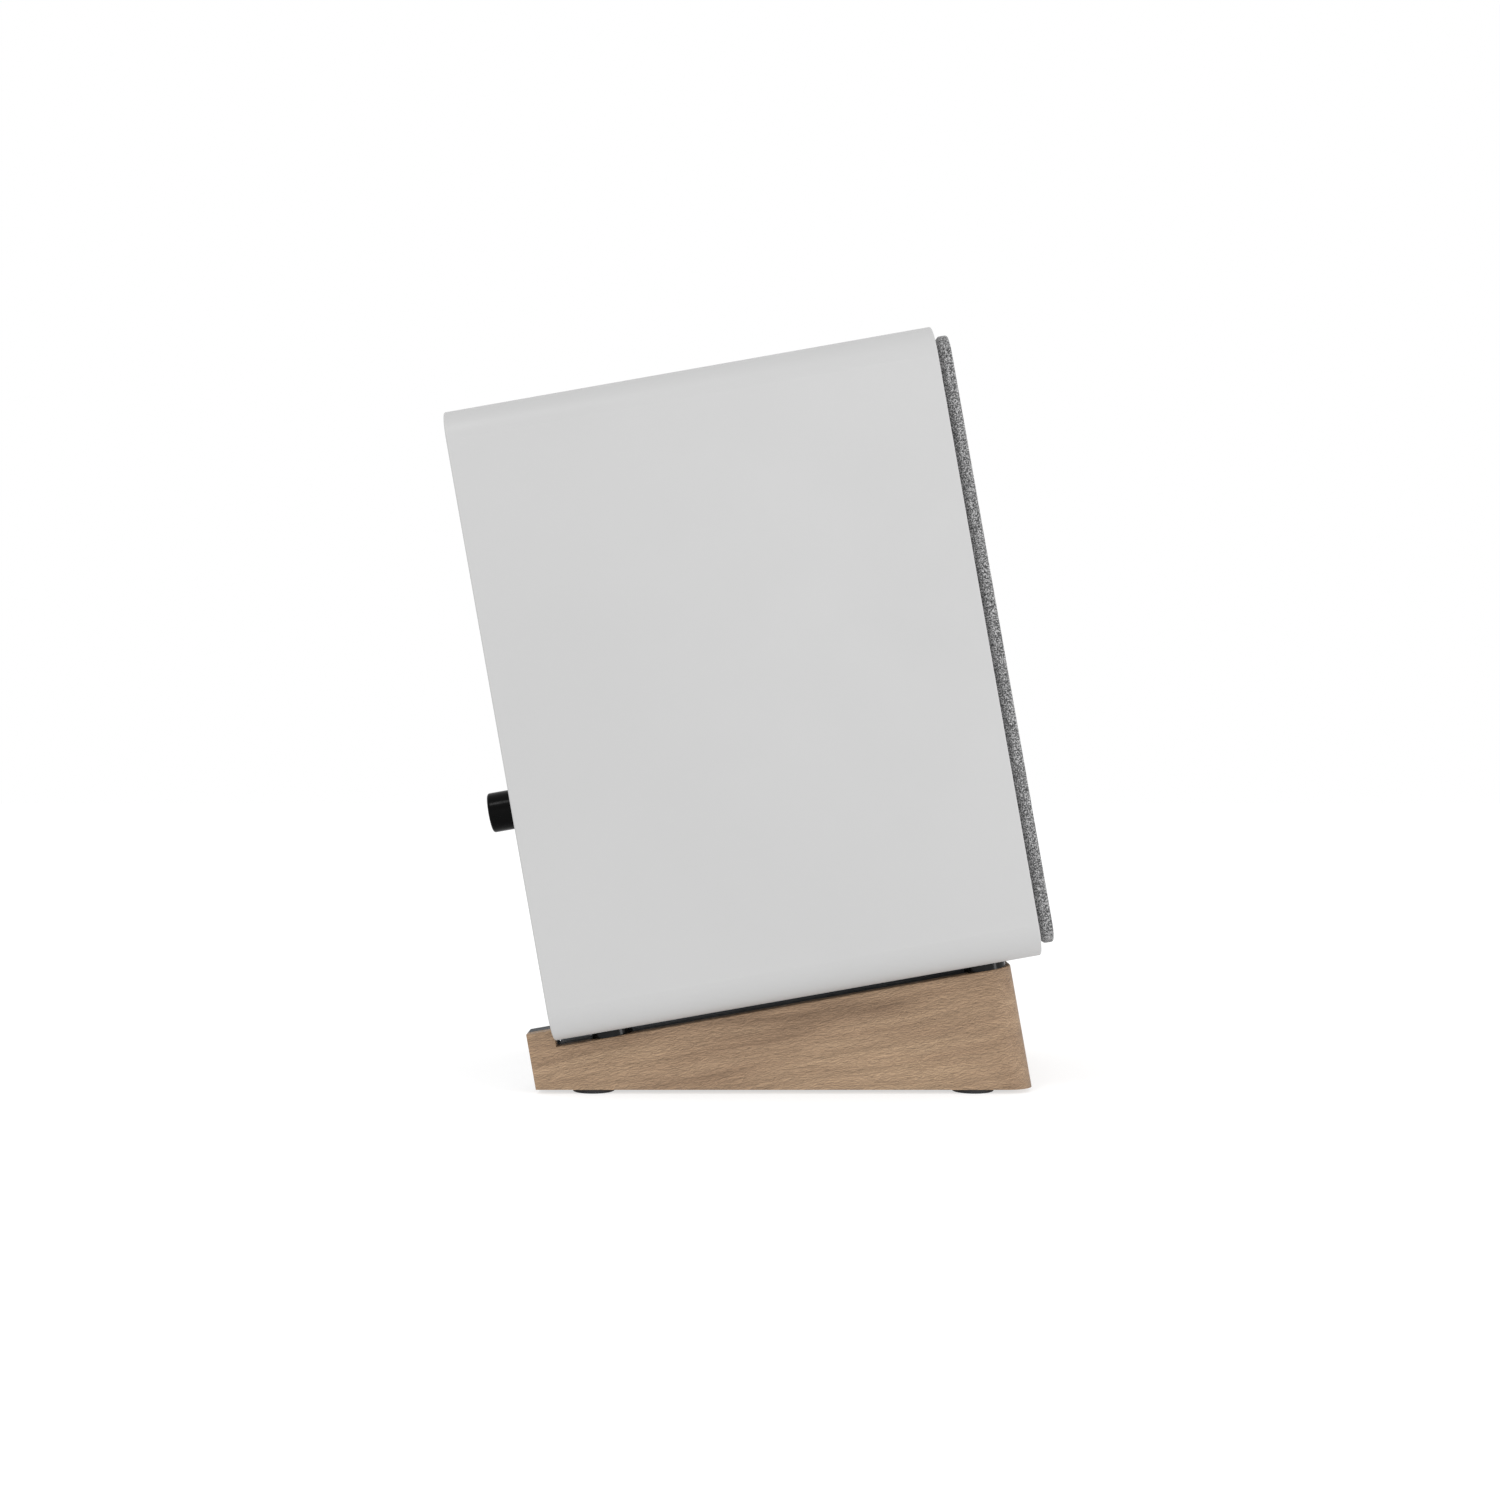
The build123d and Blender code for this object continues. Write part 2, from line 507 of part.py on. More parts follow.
with BuildPart() as tweeter_faceplate:
    with BuildSketch(plan(TWEETER_Z, y=FRONT)):
        with BuildLine():
            Polyline((HORN_R, 0), (TWEETER_R - 0.5, 0), (TWEETER_R, 0.5), (TWEETER_R, TWEETER_T),
                     (THROAT_R, TWEETER_T), (THROAT_R, THROAT_D))
            ThreePointArc((THROAT_R, THROAT_D), (21.6, 1.25), (HORN_R, 0))
        make_face()
    revolve(axis=tweeter_axis)
    with BuildSketch(facing(FRONT, z=TWEETER_Z)):
        with PolarLocations(TWEETER_SCREW_R, 4, start_angle=45):
            Circle(1.7)
    extrude(amount=-TWEETER_T, mode=Mode.SUBTRACT)
save(tweeter_faceplate, "tweeter_faceplate")

with BuildPart() as tweeter_surround:
    with BuildSketch(plan(TWEETER_Z, y=FRONT)):
        with BuildLine():
            Polyline((16.1, TWEETER_T + 0.4), (19.0, TWEETER_T + 0.4), (19.0, TWEETER_T), (16.5, TWEETER_T))
            ThreePointArc((16.5, TWEETER_T), (14.9, 3.6), (13.3, TWEETER_T))
            Polyline((13.3, TWEETER_T), (DOME_R, TWEETER_T), (DOME_R, TWEETER_T + 0.4), (13.7, TWEETER_T + 0.4))
            ThreePointArc((13.7, TWEETER_T + 0.4), (14.9, 4.0), (16.1, TWEETER_T + 0.4))
        make_face()
    revolve(axis=tweeter_axis)
save(tweeter_surround, "tweeter_surround")

with BuildPart() as tweeter_dome:
    add(dome(DOME_R, DOME_D, DOME_PEAK, DOME_T, TWEETER_Z))
save(tweeter_dome, "tweeter_dome")

with BuildPart() as tweeter_voice_coil:
    add(tweeter([(12.7, DOME_D), (13.0, DOME_D), (13.0, 7.4), (13.4, 7.4), (13.4, 10.4), (12.7, 10.4)]))
save(tweeter_voice_coil, "tweeter_voice_coil")

SPACER_END, PLATE_END, MAGNET_END, CUP_END = 6.5, 9.5, 17.5, 21.5

with BuildPart() as tweeter_spacer:
    add(tweeter([(16.4, TWEETER_T + 0.4), (19, TWEETER_T + 0.4), (19, TWEETER_T), (26, TWEETER_T),
                 (26, SPACER_END), (16.4, SPACER_END)]))
save(tweeter_spacer, "tweeter_spacer")

with BuildPart() as tweeter_top_plate:
    add(tweeter(tube(13.9, 25, SPACER_END, PLATE_END)))
save(tweeter_top_plate, "tweeter_top_plate")

with BuildPart() as tweeter_magnet:
    add(tweeter(tube(15.5, 26.5, PLATE_END, MAGNET_END)))
save(tweeter_magnet, "tweeter_magnet")

with BuildPart() as tweeter_yoke:
    add(tweeter([(0, SPACER_END + 0.2), (12.3, SPACER_END + 0.2), (12.3, MAGNET_END), (25.5, MAGNET_END),
                 (25.5, CUP_END), (0, CUP_END)]))
save(tweeter_yoke, "tweeter_yoke")

with BuildPart() as driver_screws:
    for centre_z, ring_r, seat in ((WOOFER_Z, WOOFER_SCREW_R, FRONT), (TWEETER_Z, TWEETER_SCREW_R, FRONT)):
        for quarter in range(4):
            turn = math.radians(45 + 90 * quarter)
            add(pan_screw(ring_r * math.cos(turn), centre_z + ring_r * math.sin(turn), seat,
                          2.6, 1.5, PILOT_R - SCREW_SHANK_GAP, 13, -1))
save(driver_screws, "driver_screws")

# ------------------------------------------------------------------------- the grille
GRILLE_BACK = FRONT - GRILLE_GAP
WINDOW_W, WINDOW_H = GRILLE_W - 2 * GRILLE_BORDER, GRILLE_H - 2 * GRILLE_BORDER
BAR_Z = 138.0


def grille_block(inset):
    """The grille's outer form, drawn in by inset on every face."""
    with BuildPart() as block:
        with BuildSketch(facing(GRILLE_BACK - inset, z=HEIGHT / 2)):
            RectangleRounded(GRILLE_W - 2 * inset, GRILLE_H - 2 * inset, GRILLE_CORNER - inset)
        extrude(amount=GRILLE_T - 2 * inset)
        chamfer(end_edges(block, True), GRILLE_CHAMFER - inset * (2 - math.sqrt(2)))
        fillet(end_edges(block, False), GRILLE_ROUND - inset)
    return block.part


with BuildPart() as grille_frame:
    add(grille_block(CLOTH_T))
    with BuildSketch(facing(GRILLE_BACK, z=HEIGHT / 2)):
        RectangleRounded(WINDOW_W, WINDOW_H, WINDOW_CORNER)
        with Locations((0, BAR_Z - HEIGHT / 2)):
            Rectangle(WINDOW_W, GRILLE_BAR, mode=Mode.SUBTRACT)
    extrude(amount=GRILLE_T, mode=Mode.SUBTRACT)
    with BuildSketch(facing(GRILLE_BACK - CLOTH_T, z=HEIGHT / 2)):
        with Locations(*magnet_spots):
            Circle(GRILLE_MAGNET_R)
    extrude(amount=GRILLE_MAGNET_T, mode=Mode.SUBTRACT)
save(grille_frame, "grille_frame")

with BuildPart() as grille_magnets:
    with BuildSketch(facing(GRILLE_BACK - CLOTH_T, z=HEIGHT / 2)):
        with Locations(*magnet_spots):
            Circle(GRILLE_MAGNET_R)
    extrude(amount=GRILLE_MAGNET_T)
save(grille_magnets, "grille_magnets")

with BuildPart() as grille_cloth:
    add(grille_block(0))
    add(grille_block(CLOTH_T), mode=Mode.SUBTRACT)
    with BuildSketch(facing(GRILLE_BACK, z=HEIGHT / 2)):
        RectangleRounded(WINDOW_W + 2 * HEM_SETBACK, WINDOW_H + 2 * HEM_SETBACK, WINDOW_CORNER)
    extrude(amount=CLOTH_T, mode=Mode.SUBTRACT)
save(grille_cloth, "grille_cloth")

# ------------------------------------------------------------- rear amplifier plate
clip_spots = [CLIP_X - CLIP_PITCH / 2, CLIP_X + CLIP_PITCH / 2]

with BuildPart() as amp_plate:
    with BuildSketch(facing(REAR, z=AMP_Z)):
        RectangleRounded(AMP_W, AMP_H, AMP_CORNER)
        with Locations(*amp_screw_spots):
            Circle(1.6, mode=Mode.SUBTRACT)
    extrude(amount=AMP_T)
    with BuildSketch(facing(REAR)):
        with Locations((0, KNOB_Z)):
            Circle(BUSH_R + RUNNING_GAP)
        with Locations(*[(x, RCA_Z) for x in RCA_X]):
            Circle(RCA_COLLAR_R + RUNNING_GAP)
        with Locations((AUX_X, AUX_Z)):
            Circle(AUX_BUSH_R + RUNNING_GAP)
        with Locations((BUTTON_X, BUTTON_Z)):
            Circle(BUTTON_R + 0.3)
        with Locations((LED_X, LED_Z)):
            Circle(LED_R + RUNNING_GAP)
        with Locations((CLIP_X, CLIP_Z)):
            Rectangle(CLIP_W, CLIP_H)
        with Locations((SWITCH_X, SWITCH_Z)):
            Rectangle(SWITCH_W, SWITCH_H)
        with Locations((INLET_X, INLET_Z)):
            RectangleRounded(24, 12, 3)
    extrude(amount=AMP_T, mode=Mode.SUBTRACT)
save(amp_plate, "amp_plate")

with BuildPart() as amp_plate_screws:
    for x, z in amp_screw_spots:
        add(pan_screw(x, AMP_Z + z, REAR, 2.7, 1.7, PILOT_R - SCREW_SHANK_GAP, 10, 1))
save(amp_plate_screws, "amp_plate_screws")

with BuildPart() as volume_pot:
    add(turned([(0, PLATE_IN - POT_DEPTH), (POT_R, PLATE_IN - POT_DEPTH), (POT_R, PLATE_IN),
                (BUSH_R, PLATE_IN), (BUSH_R, BUSH_END), (SHAFT_R + RUNNING_GAP, BUSH_END),
                (SHAFT_R + RUNNING_GAP, SHAFT_IN - 0.4), (0, SHAFT_IN - 0.4)], 0, KNOB_Z))
save(volume_pot, "volume_pot")

with BuildPart() as volume_shaft:
    add(turned([(0, SHAFT_IN), (SHAFT_R, SHAFT_IN), (SHAFT_R, SHAFT_END - 0.4), (SHAFT_R - 0.4, SHAFT_END),
                (0, SHAFT_END)], 0, KNOB_Z))
save(volume_shaft, "volume_shaft")

SKIRT_R, SKIRT_END, KNOB_ROUND = 6.6, BUSH_END + 0.6, 1.0

with BuildPart() as volume_knob:
    add(turned([(SKIRT_R, KNOB_BASE), (KNOB_R, KNOB_BASE), (KNOB_R, KNOB_END), (0, KNOB_END),
                (0, SHAFT_END), (SHAFT_R, SHAFT_END), (SHAFT_R, SKIRT_END), (SKIRT_R, SKIRT_END)], 0, KNOB_Z))
    fillet(end_edges(volume_knob, True), KNOB_ROUND)
    with BuildSketch(facing(KNOB_END, z=KNOB_Z + KNOB_R * 0.5)):
        SlotOverall(4.4, 0.9, rotation=90)
    extrude(amount=0.4, mode=Mode.SUBTRACT)
save(volume_knob, "volume_knob")

with BuildPart() as panel_nuts:
    add(hexagon(NUT_FLATS, 0, KNOB_Z, REAR, REAR + NUT_T, BUSH_R + RUNNING_GAP))
    add(turned(tube(AUX_BUSH_R + RUNNING_GAP, AUX_NUT_R, REAR, REAR + NUT_T), AUX_X, AUX_Z))
save(panel_nuts, "panel_nuts")


def rca_insert(x):
    """The coloured insulator of one phono jack: a core and a collar joined behind the plate."""
    return turned([(RCA_BORE_R, REAR - 4), (RCA_BORE_R, RCA_END - 1), (RCA_CORE_R, RCA_END - 1),
                   (RCA_CORE_R, REAR - 2), (RCA_STEM_R, REAR - 2), (RCA_STEM_R, REAR + 1),
                   (RCA_COLLAR_R, REAR + 1), (RCA_COLLAR_R, REAR - 14), (0, REAR - 14), (0, REAR - 4)],
                  x, RCA_Z)


with BuildPart() as rca_insert_white:
    add(rca_insert(RCA_X[0]))
save(rca_insert_white, "rca_insert_white")

with BuildPart() as rca_insert_red:
    add(rca_insert(RCA_X[1]))
save(rca_insert_red, "rca_insert_red")

with BuildPart() as rca_shells:
    for x in RCA_X:
        add(turned([(RCA_CORE_R, REAR - 2), (RCA_STEM_R, REAR - 2), (RCA_STEM_R, REAR + 1),
                    (RCA_SHELL_R, REAR + 1), (RCA_SHELL_R, RCA_END - 0.4),
                    (RCA_SHELL_R - 0.3, RCA_END), (RCA_CORE_R, RCA_END)], x, RCA_Z))
save(rca_shells, "rca_shells")

with BuildPart() as aux_jack:
    with BuildSketch(facing(PLATE_IN, AUX_X, AUX_Z)):
        Rectangle(12, 10)
    extrude(amount=13)
    add(turned(tube(0, AUX_BUSH_R, PLATE_IN - 1, REAR + 2.6), AUX_X, AUX_Z))
    add(turned(tube(0, AUX_BORE_R, PLATE_IN - 11, REAR + 3), AUX_X, AUX_Z), mode=Mode.SUBTRACT)
save(aux_jack, "aux_jack")

CLIP_BACK, CLIP_FLANGE, CLIP_POCKET_BACK = REAR - 18, 1.5, REAR - 14
CLIP_POCKET_H = 24.0
PIN_REACH = CLIP_POCKET_W / 2 + 1.5

with BuildPart() as terminal_housing:
    with BuildSketch(facing(REAR, CLIP_X, CLIP_Z)):
        Rectangle(CLIP_W, CLIP_H)
    extrude(amount=REAR - CLIP_BACK)
    with BuildSketch(facing(REAR, CLIP_X, CLIP_Z)):
        RectangleRounded(CLIP_W + 3, CLIP_H + 3, 1.5)
    extrude(amount=-CLIP_FLANGE)
    with BuildSketch(facing(REAR + CLIP_FLANGE, CLIP_X, CLIP_Z)):
        with Locations((-CLIP_PITCH / 2, 0), (CLIP_PITCH / 2, 0)):
            Rectangle(CLIP_POCKET_W, CLIP_POCKET_H)
    extrude(amount=REAR + CLIP_FLANGE - CLIP_POCKET_BACK, mode=Mode.SUBTRACT)
    for x in clip_spots:
        with BuildSketch(side(x, LEVER_Y, LEVER_Z)):
            Circle(LEVER_PIN_R + RUNNING_GAP)
        extrude(amount=PIN_REACH + 0.1, both=True, mode=Mode.SUBTRACT)
save(terminal_housing, "terminal_housing")

with BuildPart() as terminal_contacts:
    with BuildSketch(facing(CLIP_POCKET_BACK + 0.8, CLIP_X, CLIP_Z)):
        with Locations((-CLIP_PITCH / 2, 0), (CLIP_PITCH / 2, 0)):
            Rectangle(8, 18)
    extrude(amount=0.8)
save(terminal_contacts, "terminal_contacts")


def lever(x):
    """A sprung terminal lever with its tab, on a pin that runs in the housing's walls."""
    with BuildPart() as piece:
        extrude(outline(side(x, LEVER_Y, LEVER_Z), [
            (-2, -2.2), (4.6, -2.2), (4.8, 5.2), (7.4, 6.0), (7.4, 7.8), (6.8, 8.4), (2.0, 8.4), (-2, 3.0)]),
            amount=LEVER_W / 2, both=True)
        with BuildSketch(side(x, LEVER_Y, LEVER_Z)):
            Circle(LEVER_PIN_R)
        extrude(amount=PIN_REACH, both=True)
    return piece.part


with BuildPart() as terminal_lever_black:
    add(lever(clip_spots[0]))
save(terminal_lever_black, "terminal_lever_black")

with BuildPart() as terminal_lever_red:
    add(lever(clip_spots[1]))
save(terminal_lever_red, "terminal_lever_red")

SWITCH_DEEP, SWITCH_BEZEL = 14.0, 1.2
SWITCH_OPEN_W, SWITCH_OPEN_H = 8.6, 14.8
ROCKER_PIN_REACH = SWITCH_W / 2 - 0.2

with BuildPart() as switch_housing:
    with BuildSketch(facing(REAR, SWITCH_X, SWITCH_Z)):
        Rectangle(SWITCH_W, SWITCH_H)
    extrude(amount=SWITCH_DEEP)
    with BuildSketch(facing(REAR, SWITCH_X, SWITCH_Z)):
        RectangleRounded(SWITCH_W + 2.4, SWITCH_H + 2.4, 1)
    extrude(amount=-SWITCH_BEZEL)
    with BuildSketch(facing(REAR + SWITCH_BEZEL, SWITCH_X, SWITCH_Z)):
        Rectangle(SWITCH_OPEN_W, SWITCH_OPEN_H)
    extrude(amount=SWITCH_DEEP - 4, mode=Mode.SUBTRACT)
    with BuildSketch(side(SWITCH_X, SWITCH_PIVOT_Y, SWITCH_Z)):
        Circle(ROCKER_PIN_R + RUNNING_GAP)
    extrude(amount=SWITCH_W / 2, both=True, mode=Mode.SUBTRACT)
save(switch_housing, "switch_housing")

ROCKER_SECTION = [(3.6, -6.3), (2.7, 0), (3.6, 6.3), (0.6, 6.3), (-2.6, 2.5), (-2.6, -2.5), (0.6, -6.3)]
rocker_plane = Plane(origin=at(SWITCH_X, SWITCH_PIVOT_Y, SWITCH_Z),
                     x_dir=REARWARD.rotate(Axis.X, SWITCH_LEAN), z_dir=(1, 0, 0))

with BuildPart() as power_rocker:
    extrude(outline(rocker_plane, ROCKER_SECTION), amount=ROCKER_W / 2, both=True)
    with BuildSketch(rocker_plane):
        Circle(ROCKER_PIN_R)
    extrude(amount=ROCKER_PIN_REACH, both=True)
save(power_rocker, "power_rocker")

INLET_BACK = REAR - 17

with BuildPart() as mains_inlet:
    with BuildSketch(facing(REAR, INLET_X, INLET_Z)):
        RectangleRounded(24, 12, 3)
    extrude(amount=REAR - INLET_BACK)
    with BuildSketch(facing(REAR, INLET_X, INLET_Z)):
        RectangleRounded(28, 16, 4)
    extrude(amount=-1.5)
    with BuildSketch(facing(REAR + 1.5, INLET_X, INLET_Z)):
        SlotOverall(INLET_SLOT_W, INLET_SLOT_H)
    extrude(amount=INLET_DEEP + 1.5, mode=Mode.SUBTRACT)
save(mains_inlet, "mains_inlet")

with BuildPart() as inlet_pins:
    with BuildSketch(facing(REAR - INLET_DEEP, INLET_X, INLET_Z)):
        with Locations((-INLET_PIN_PITCH / 2, 0), (INLET_PIN_PITCH / 2, 0)):
            Circle(INLET_PIN_R)
    extrude(amount=-9.5)
    fillet(inlet_pins.edges().group_by(DEPTH_AXIS)[-1], 0.8)
save(inlet_pins, "inlet_pins")

SWITCH_TOP = REAR - 6.9

with BuildPart() as input_button:
    add(turned([(0, REAR - 6), (BUTTON_R + 1.1, REAR - 6), (BUTTON_R + 1.1, REAR - 2.4),
                (BUTTON_R, REAR - 2.4), (BUTTON_R, REAR + 0.9), (BUTTON_R - 0.4, REAR + 1.3), (0, REAR + 1.3)],
               BUTTON_X, BUTTON_Z))
save(input_button, "input_button")

with BuildPart() as button_switch:
    with BuildSketch(facing(BOARD_Y + BOARD_T, BUTTON_X, BUTTON_Z)):
        Rectangle(6, 6)
    extrude(amount=-3.5)
    with BuildSketch(facing(BOARD_Y + BOARD_T + 3.5, BUTTON_X, BUTTON_Z)):
        Circle(1.75)
    extrude(amount=BOARD_Y + BOARD_T + 3.5 - SWITCH_TOP)
save(button_switch, "button_switch")

with BuildPart() as status_led:
    add(turned([(0, REAR - 10), (LED_R, REAR - 10), (LED_R, REAR + 0.1), (LED_R * 0.7, REAR + 0.6), (0, REAR + 0.8)],
               LED_X, LED_Z))
save(status_led, "status_led")

# ------------------------------------------------------------------ inside the cabinet
BOARD_FULL_W, BOARD_FULL_H = 88.0, 116.0

with BuildPart() as amp_board:
    with BuildSketch(facing(BOARD_Y, z=AMP_Z)):
        Rectangle(BOARD_FULL_W, BOARD_FULL_H)
    extrude(amount=-BOARD_T)
save(amp_board, "amp_board")

FIN_COUNT, FIN_T, SINK_W, SINK_H, SINK_BASE, SINK_DEEP = 9, 1.6, 60.0, 26.0, 3.0, 16.0
SINK_Z = 116.0

with BuildPart() as heatsink:
    with BuildSketch(facing(BOARD_Y, 0, SINK_Z)):
        Rectangle(SINK_W, SINK_H)
    extrude(amount=SINK_BASE)
    with BuildSketch(facing(BOARD_Y - SINK_BASE, 0, SINK_Z)):
        with GridLocations((SINK_W - FIN_T) / (FIN_COUNT - 1), 1, FIN_COUNT, 1):
            Rectangle(FIN_T, SINK_H)
    extrude(amount=SINK_DEEP)
save(heatsink, "heatsink")

with BuildPart() as capacitors:
    with BuildSketch(facing(BOARD_Y, z=84.0)):
        with Locations((-30, 0), (-10, 0)):
            Circle(8)
    extrude(amount=24)
    fillet(capacitors.edges().filter_by(GeomType.CIRCLE), 0.8)
save(capacitors, "capacitors")

with BuildPart() as transformer:
    with BuildSketch(facing(BOARD_Y, 20, 60)):
        RectangleRounded(36, 30, 2)
    extrude(amount=26)
save(transformer, "transformer")

LEAD_R = 1.5
LEAD_ROUTES = (
    # from the board to the woofer's terminals
    ((-20, BOARD_Y, 100), (-20, 34, 100), (-13, 2, 108), (-4, -24, 116), (-4, FRONT + TOP_PLATE_D + 1.5, 116)),
    # from the board, up through the shelf, to the back of the tweeter
    ((38, BOARD_Y, 124), (38, 38, 124), (33, 2, 132), (26, -24, 156), (8, -50, 178), (8, FRONT + CUP_END, 178)),
)


def lead(route):
    """One jacketed pair, as straight runs joined by tangent arcs."""
    points = [at(*point) for point in route]
    radii = []
    for before, here, after in zip(points, points[1:], points[2:]):
        turn = math.radians((here - before).get_angle(after - here))
        radii.append(0.45 * min((here - before).length, (after - here).length) / math.tan(turn / 2))
    with BuildPart() as piece:
        with BuildLine() as path:
            FilletPolyline(*points, radius=radii)
        with BuildSketch(Plane(origin=path.wire() @ 0, z_dir=path.wire() % 0)):
            Circle(LEAD_R)
        sweep()
    return piece.part


with BuildPart() as driver_leads:
    for route in LEAD_ROUTES:
        add(lead(route))
save(driver_leads, "driver_leads")
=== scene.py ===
import json
import math

import bpy
import numpy as np
from mathutils import Matrix, Vector


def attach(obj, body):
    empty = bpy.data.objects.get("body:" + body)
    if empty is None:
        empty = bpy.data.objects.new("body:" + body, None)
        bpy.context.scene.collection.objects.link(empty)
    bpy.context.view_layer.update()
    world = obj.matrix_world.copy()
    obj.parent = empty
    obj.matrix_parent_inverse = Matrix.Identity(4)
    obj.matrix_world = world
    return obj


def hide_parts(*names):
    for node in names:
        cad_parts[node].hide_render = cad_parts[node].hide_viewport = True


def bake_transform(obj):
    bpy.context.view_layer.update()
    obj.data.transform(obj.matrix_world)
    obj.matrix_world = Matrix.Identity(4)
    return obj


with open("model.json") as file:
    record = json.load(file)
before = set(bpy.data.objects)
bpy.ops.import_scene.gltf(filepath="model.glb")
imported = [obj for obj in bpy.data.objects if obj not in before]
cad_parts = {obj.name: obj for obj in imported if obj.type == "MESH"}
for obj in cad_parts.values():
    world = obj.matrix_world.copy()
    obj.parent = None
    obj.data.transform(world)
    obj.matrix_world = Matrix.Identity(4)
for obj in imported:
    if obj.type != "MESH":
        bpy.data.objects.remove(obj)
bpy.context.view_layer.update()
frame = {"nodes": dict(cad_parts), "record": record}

# A powered bookshelf speaker leaning back on a wedge-shaped wooden stand.
# Lengths are in metres. Points of the cabinet are given in its leaning frame: x across,
# y rearwards and z up along the cabinet, from the middle of its underside.

MM = 0.001
RECORD = frame["record"]
JOINTS = {joint["name"]: joint for joint in RECORD["behaviour"]["joints"]}

# ------------------------------------------------------------------- the leaning frame
UP = Vector(JOINTS["cabinet_lift"]["axis"])
REARWARD = Vector(JOINTS["volume_turn"]["axis"])
TILT = math.asin(UP.y)
KNOB_HEIGHT, WOOFER_Z, TWEETER_Z = 85.4 * MM, 75 * MM, 180 * MM
CABINET_DEPTH, CABINET_HEIGHT, CABINET_WIDTH = 180 * MM, 233 * MM, 148 * MM
FRONT = -CABINET_DEPTH / 2
ORIGIN = Vector(JOINTS["volume_turn"]["pos_m"]) - REARWARD * CABINET_DEPTH / 2 - UP * KNOB_HEIGHT
LEAN = Matrix((
    (1, REARWARD.x, UP.x, ORIGIN.x),
    (0, REARWARD.y, UP.y, ORIGIN.y),
    (0, REARWARD.z, UP.z, ORIGIN.z),
    (0, 0, 0, 1),
))

# ---------------------------------------------------------------------- camera, lights
NEAR_SIDE_TO_CAMERA = 0.750
CAMERA_ALONG, CAMERA_HEIGHT = -0.0004, 0.126
LENS, SENSOR = 50, 36
LIGHT_AIM = Vector((0, 0, 0.12))
WHITE = (1, 1, 1, 1)
FLOOR_HALF = 4.0
FLOOR_TONE, FLOOR_GLOW = 0.46, 0.62


def make_camera():
    data = bpy.data.cameras.new("camera")
    data.lens, data.sensor_width = LENS, SENSOR
    data.clip_start, data.clip_end = 0.01, 50
    camera = bpy.data.objects.new("camera", data)
    camera.location = (-CABINET_WIDTH / 2 - NEAR_SIDE_TO_CAMERA, CAMERA_ALONG, CAMERA_HEIGHT)
    camera.rotation_euler = (math.radians(90), 0, math.radians(-90))
    bpy.context.collection.objects.link(camera)
    bpy.context.scene.camera = camera


def area_light(name, place, size, watts):
    """A round soft light that faces the middle of the speaker."""
    data = bpy.data.lights.new(name, "AREA")
    data.shape, data.size, data.energy = "DISK", size, watts
    light = bpy.data.objects.new(name, data)
    light.location = place
    light.rotation_euler = (LIGHT_AIM - Vector(place)).to_track_quat("-Z", "Y").to_euler()
    bpy.context.collection.objects.link(light)


def make_studio():
    """A white room: even light from all round, a soft key from the near side, a small light that
    the knob mirrors, and two weak fills."""
    scene = bpy.context.scene
    scene.view_settings.view_transform = "Standard"
    scene.world = bpy.data.worlds.new("studio")
    scene.world.use_nodes = True
    background = scene.world.node_tree.nodes["Background"]
    background.inputs["Color"].default_value = WHITE
    background.inputs["Strength"].default_value = 1.0
    area_light("key", (-3.4, -0.3, 0.45), 1.0, 11)
    area_light("glint", (-0.96, 0.53, 1.31), 0.30, 3.2)
    area_light("front_fill", (-1.15, -1.6, 0.35), 0.7, 10)
    area_light("rear_fill", (0.9, 1.6, 0.45), 0.8, 3)


def make_floor():
    """A plain floor that glows a little, so that it stays white with soft shadows."""
    mesh = bpy.data.meshes.new("floor")
    corners = [(x * FLOOR_HALF, y * FLOOR_HALF, 0) for x, y in ((-1, -1), (1, -1), (1, 1), (-1, 1))]
    mesh.from_pydata(corners, [], [(0, 1, 2, 3)])
    floor = bpy.data.objects.new("floor", mesh)
    bpy.context.collection.objects.link(floor)
    material = bpy.data.materials.new("floor")
    material.use_nodes = True
    shader = material.node_tree.nodes["Principled BSDF"]
    shader.inputs["Base Color"].default_value = (FLOOR_TONE, FLOOR_TONE, FLOOR_TONE, 1)
    shader.inputs["Roughness"].default_value = 0.9
    shader.inputs["Specular IOR Level"].default_value = 0.0
    shader.inputs["Emission Color"].default_value = WHITE
    shader.inputs["Emission Strength"].default_value = FLOOR_GLOW
    mesh.materials.append(material)


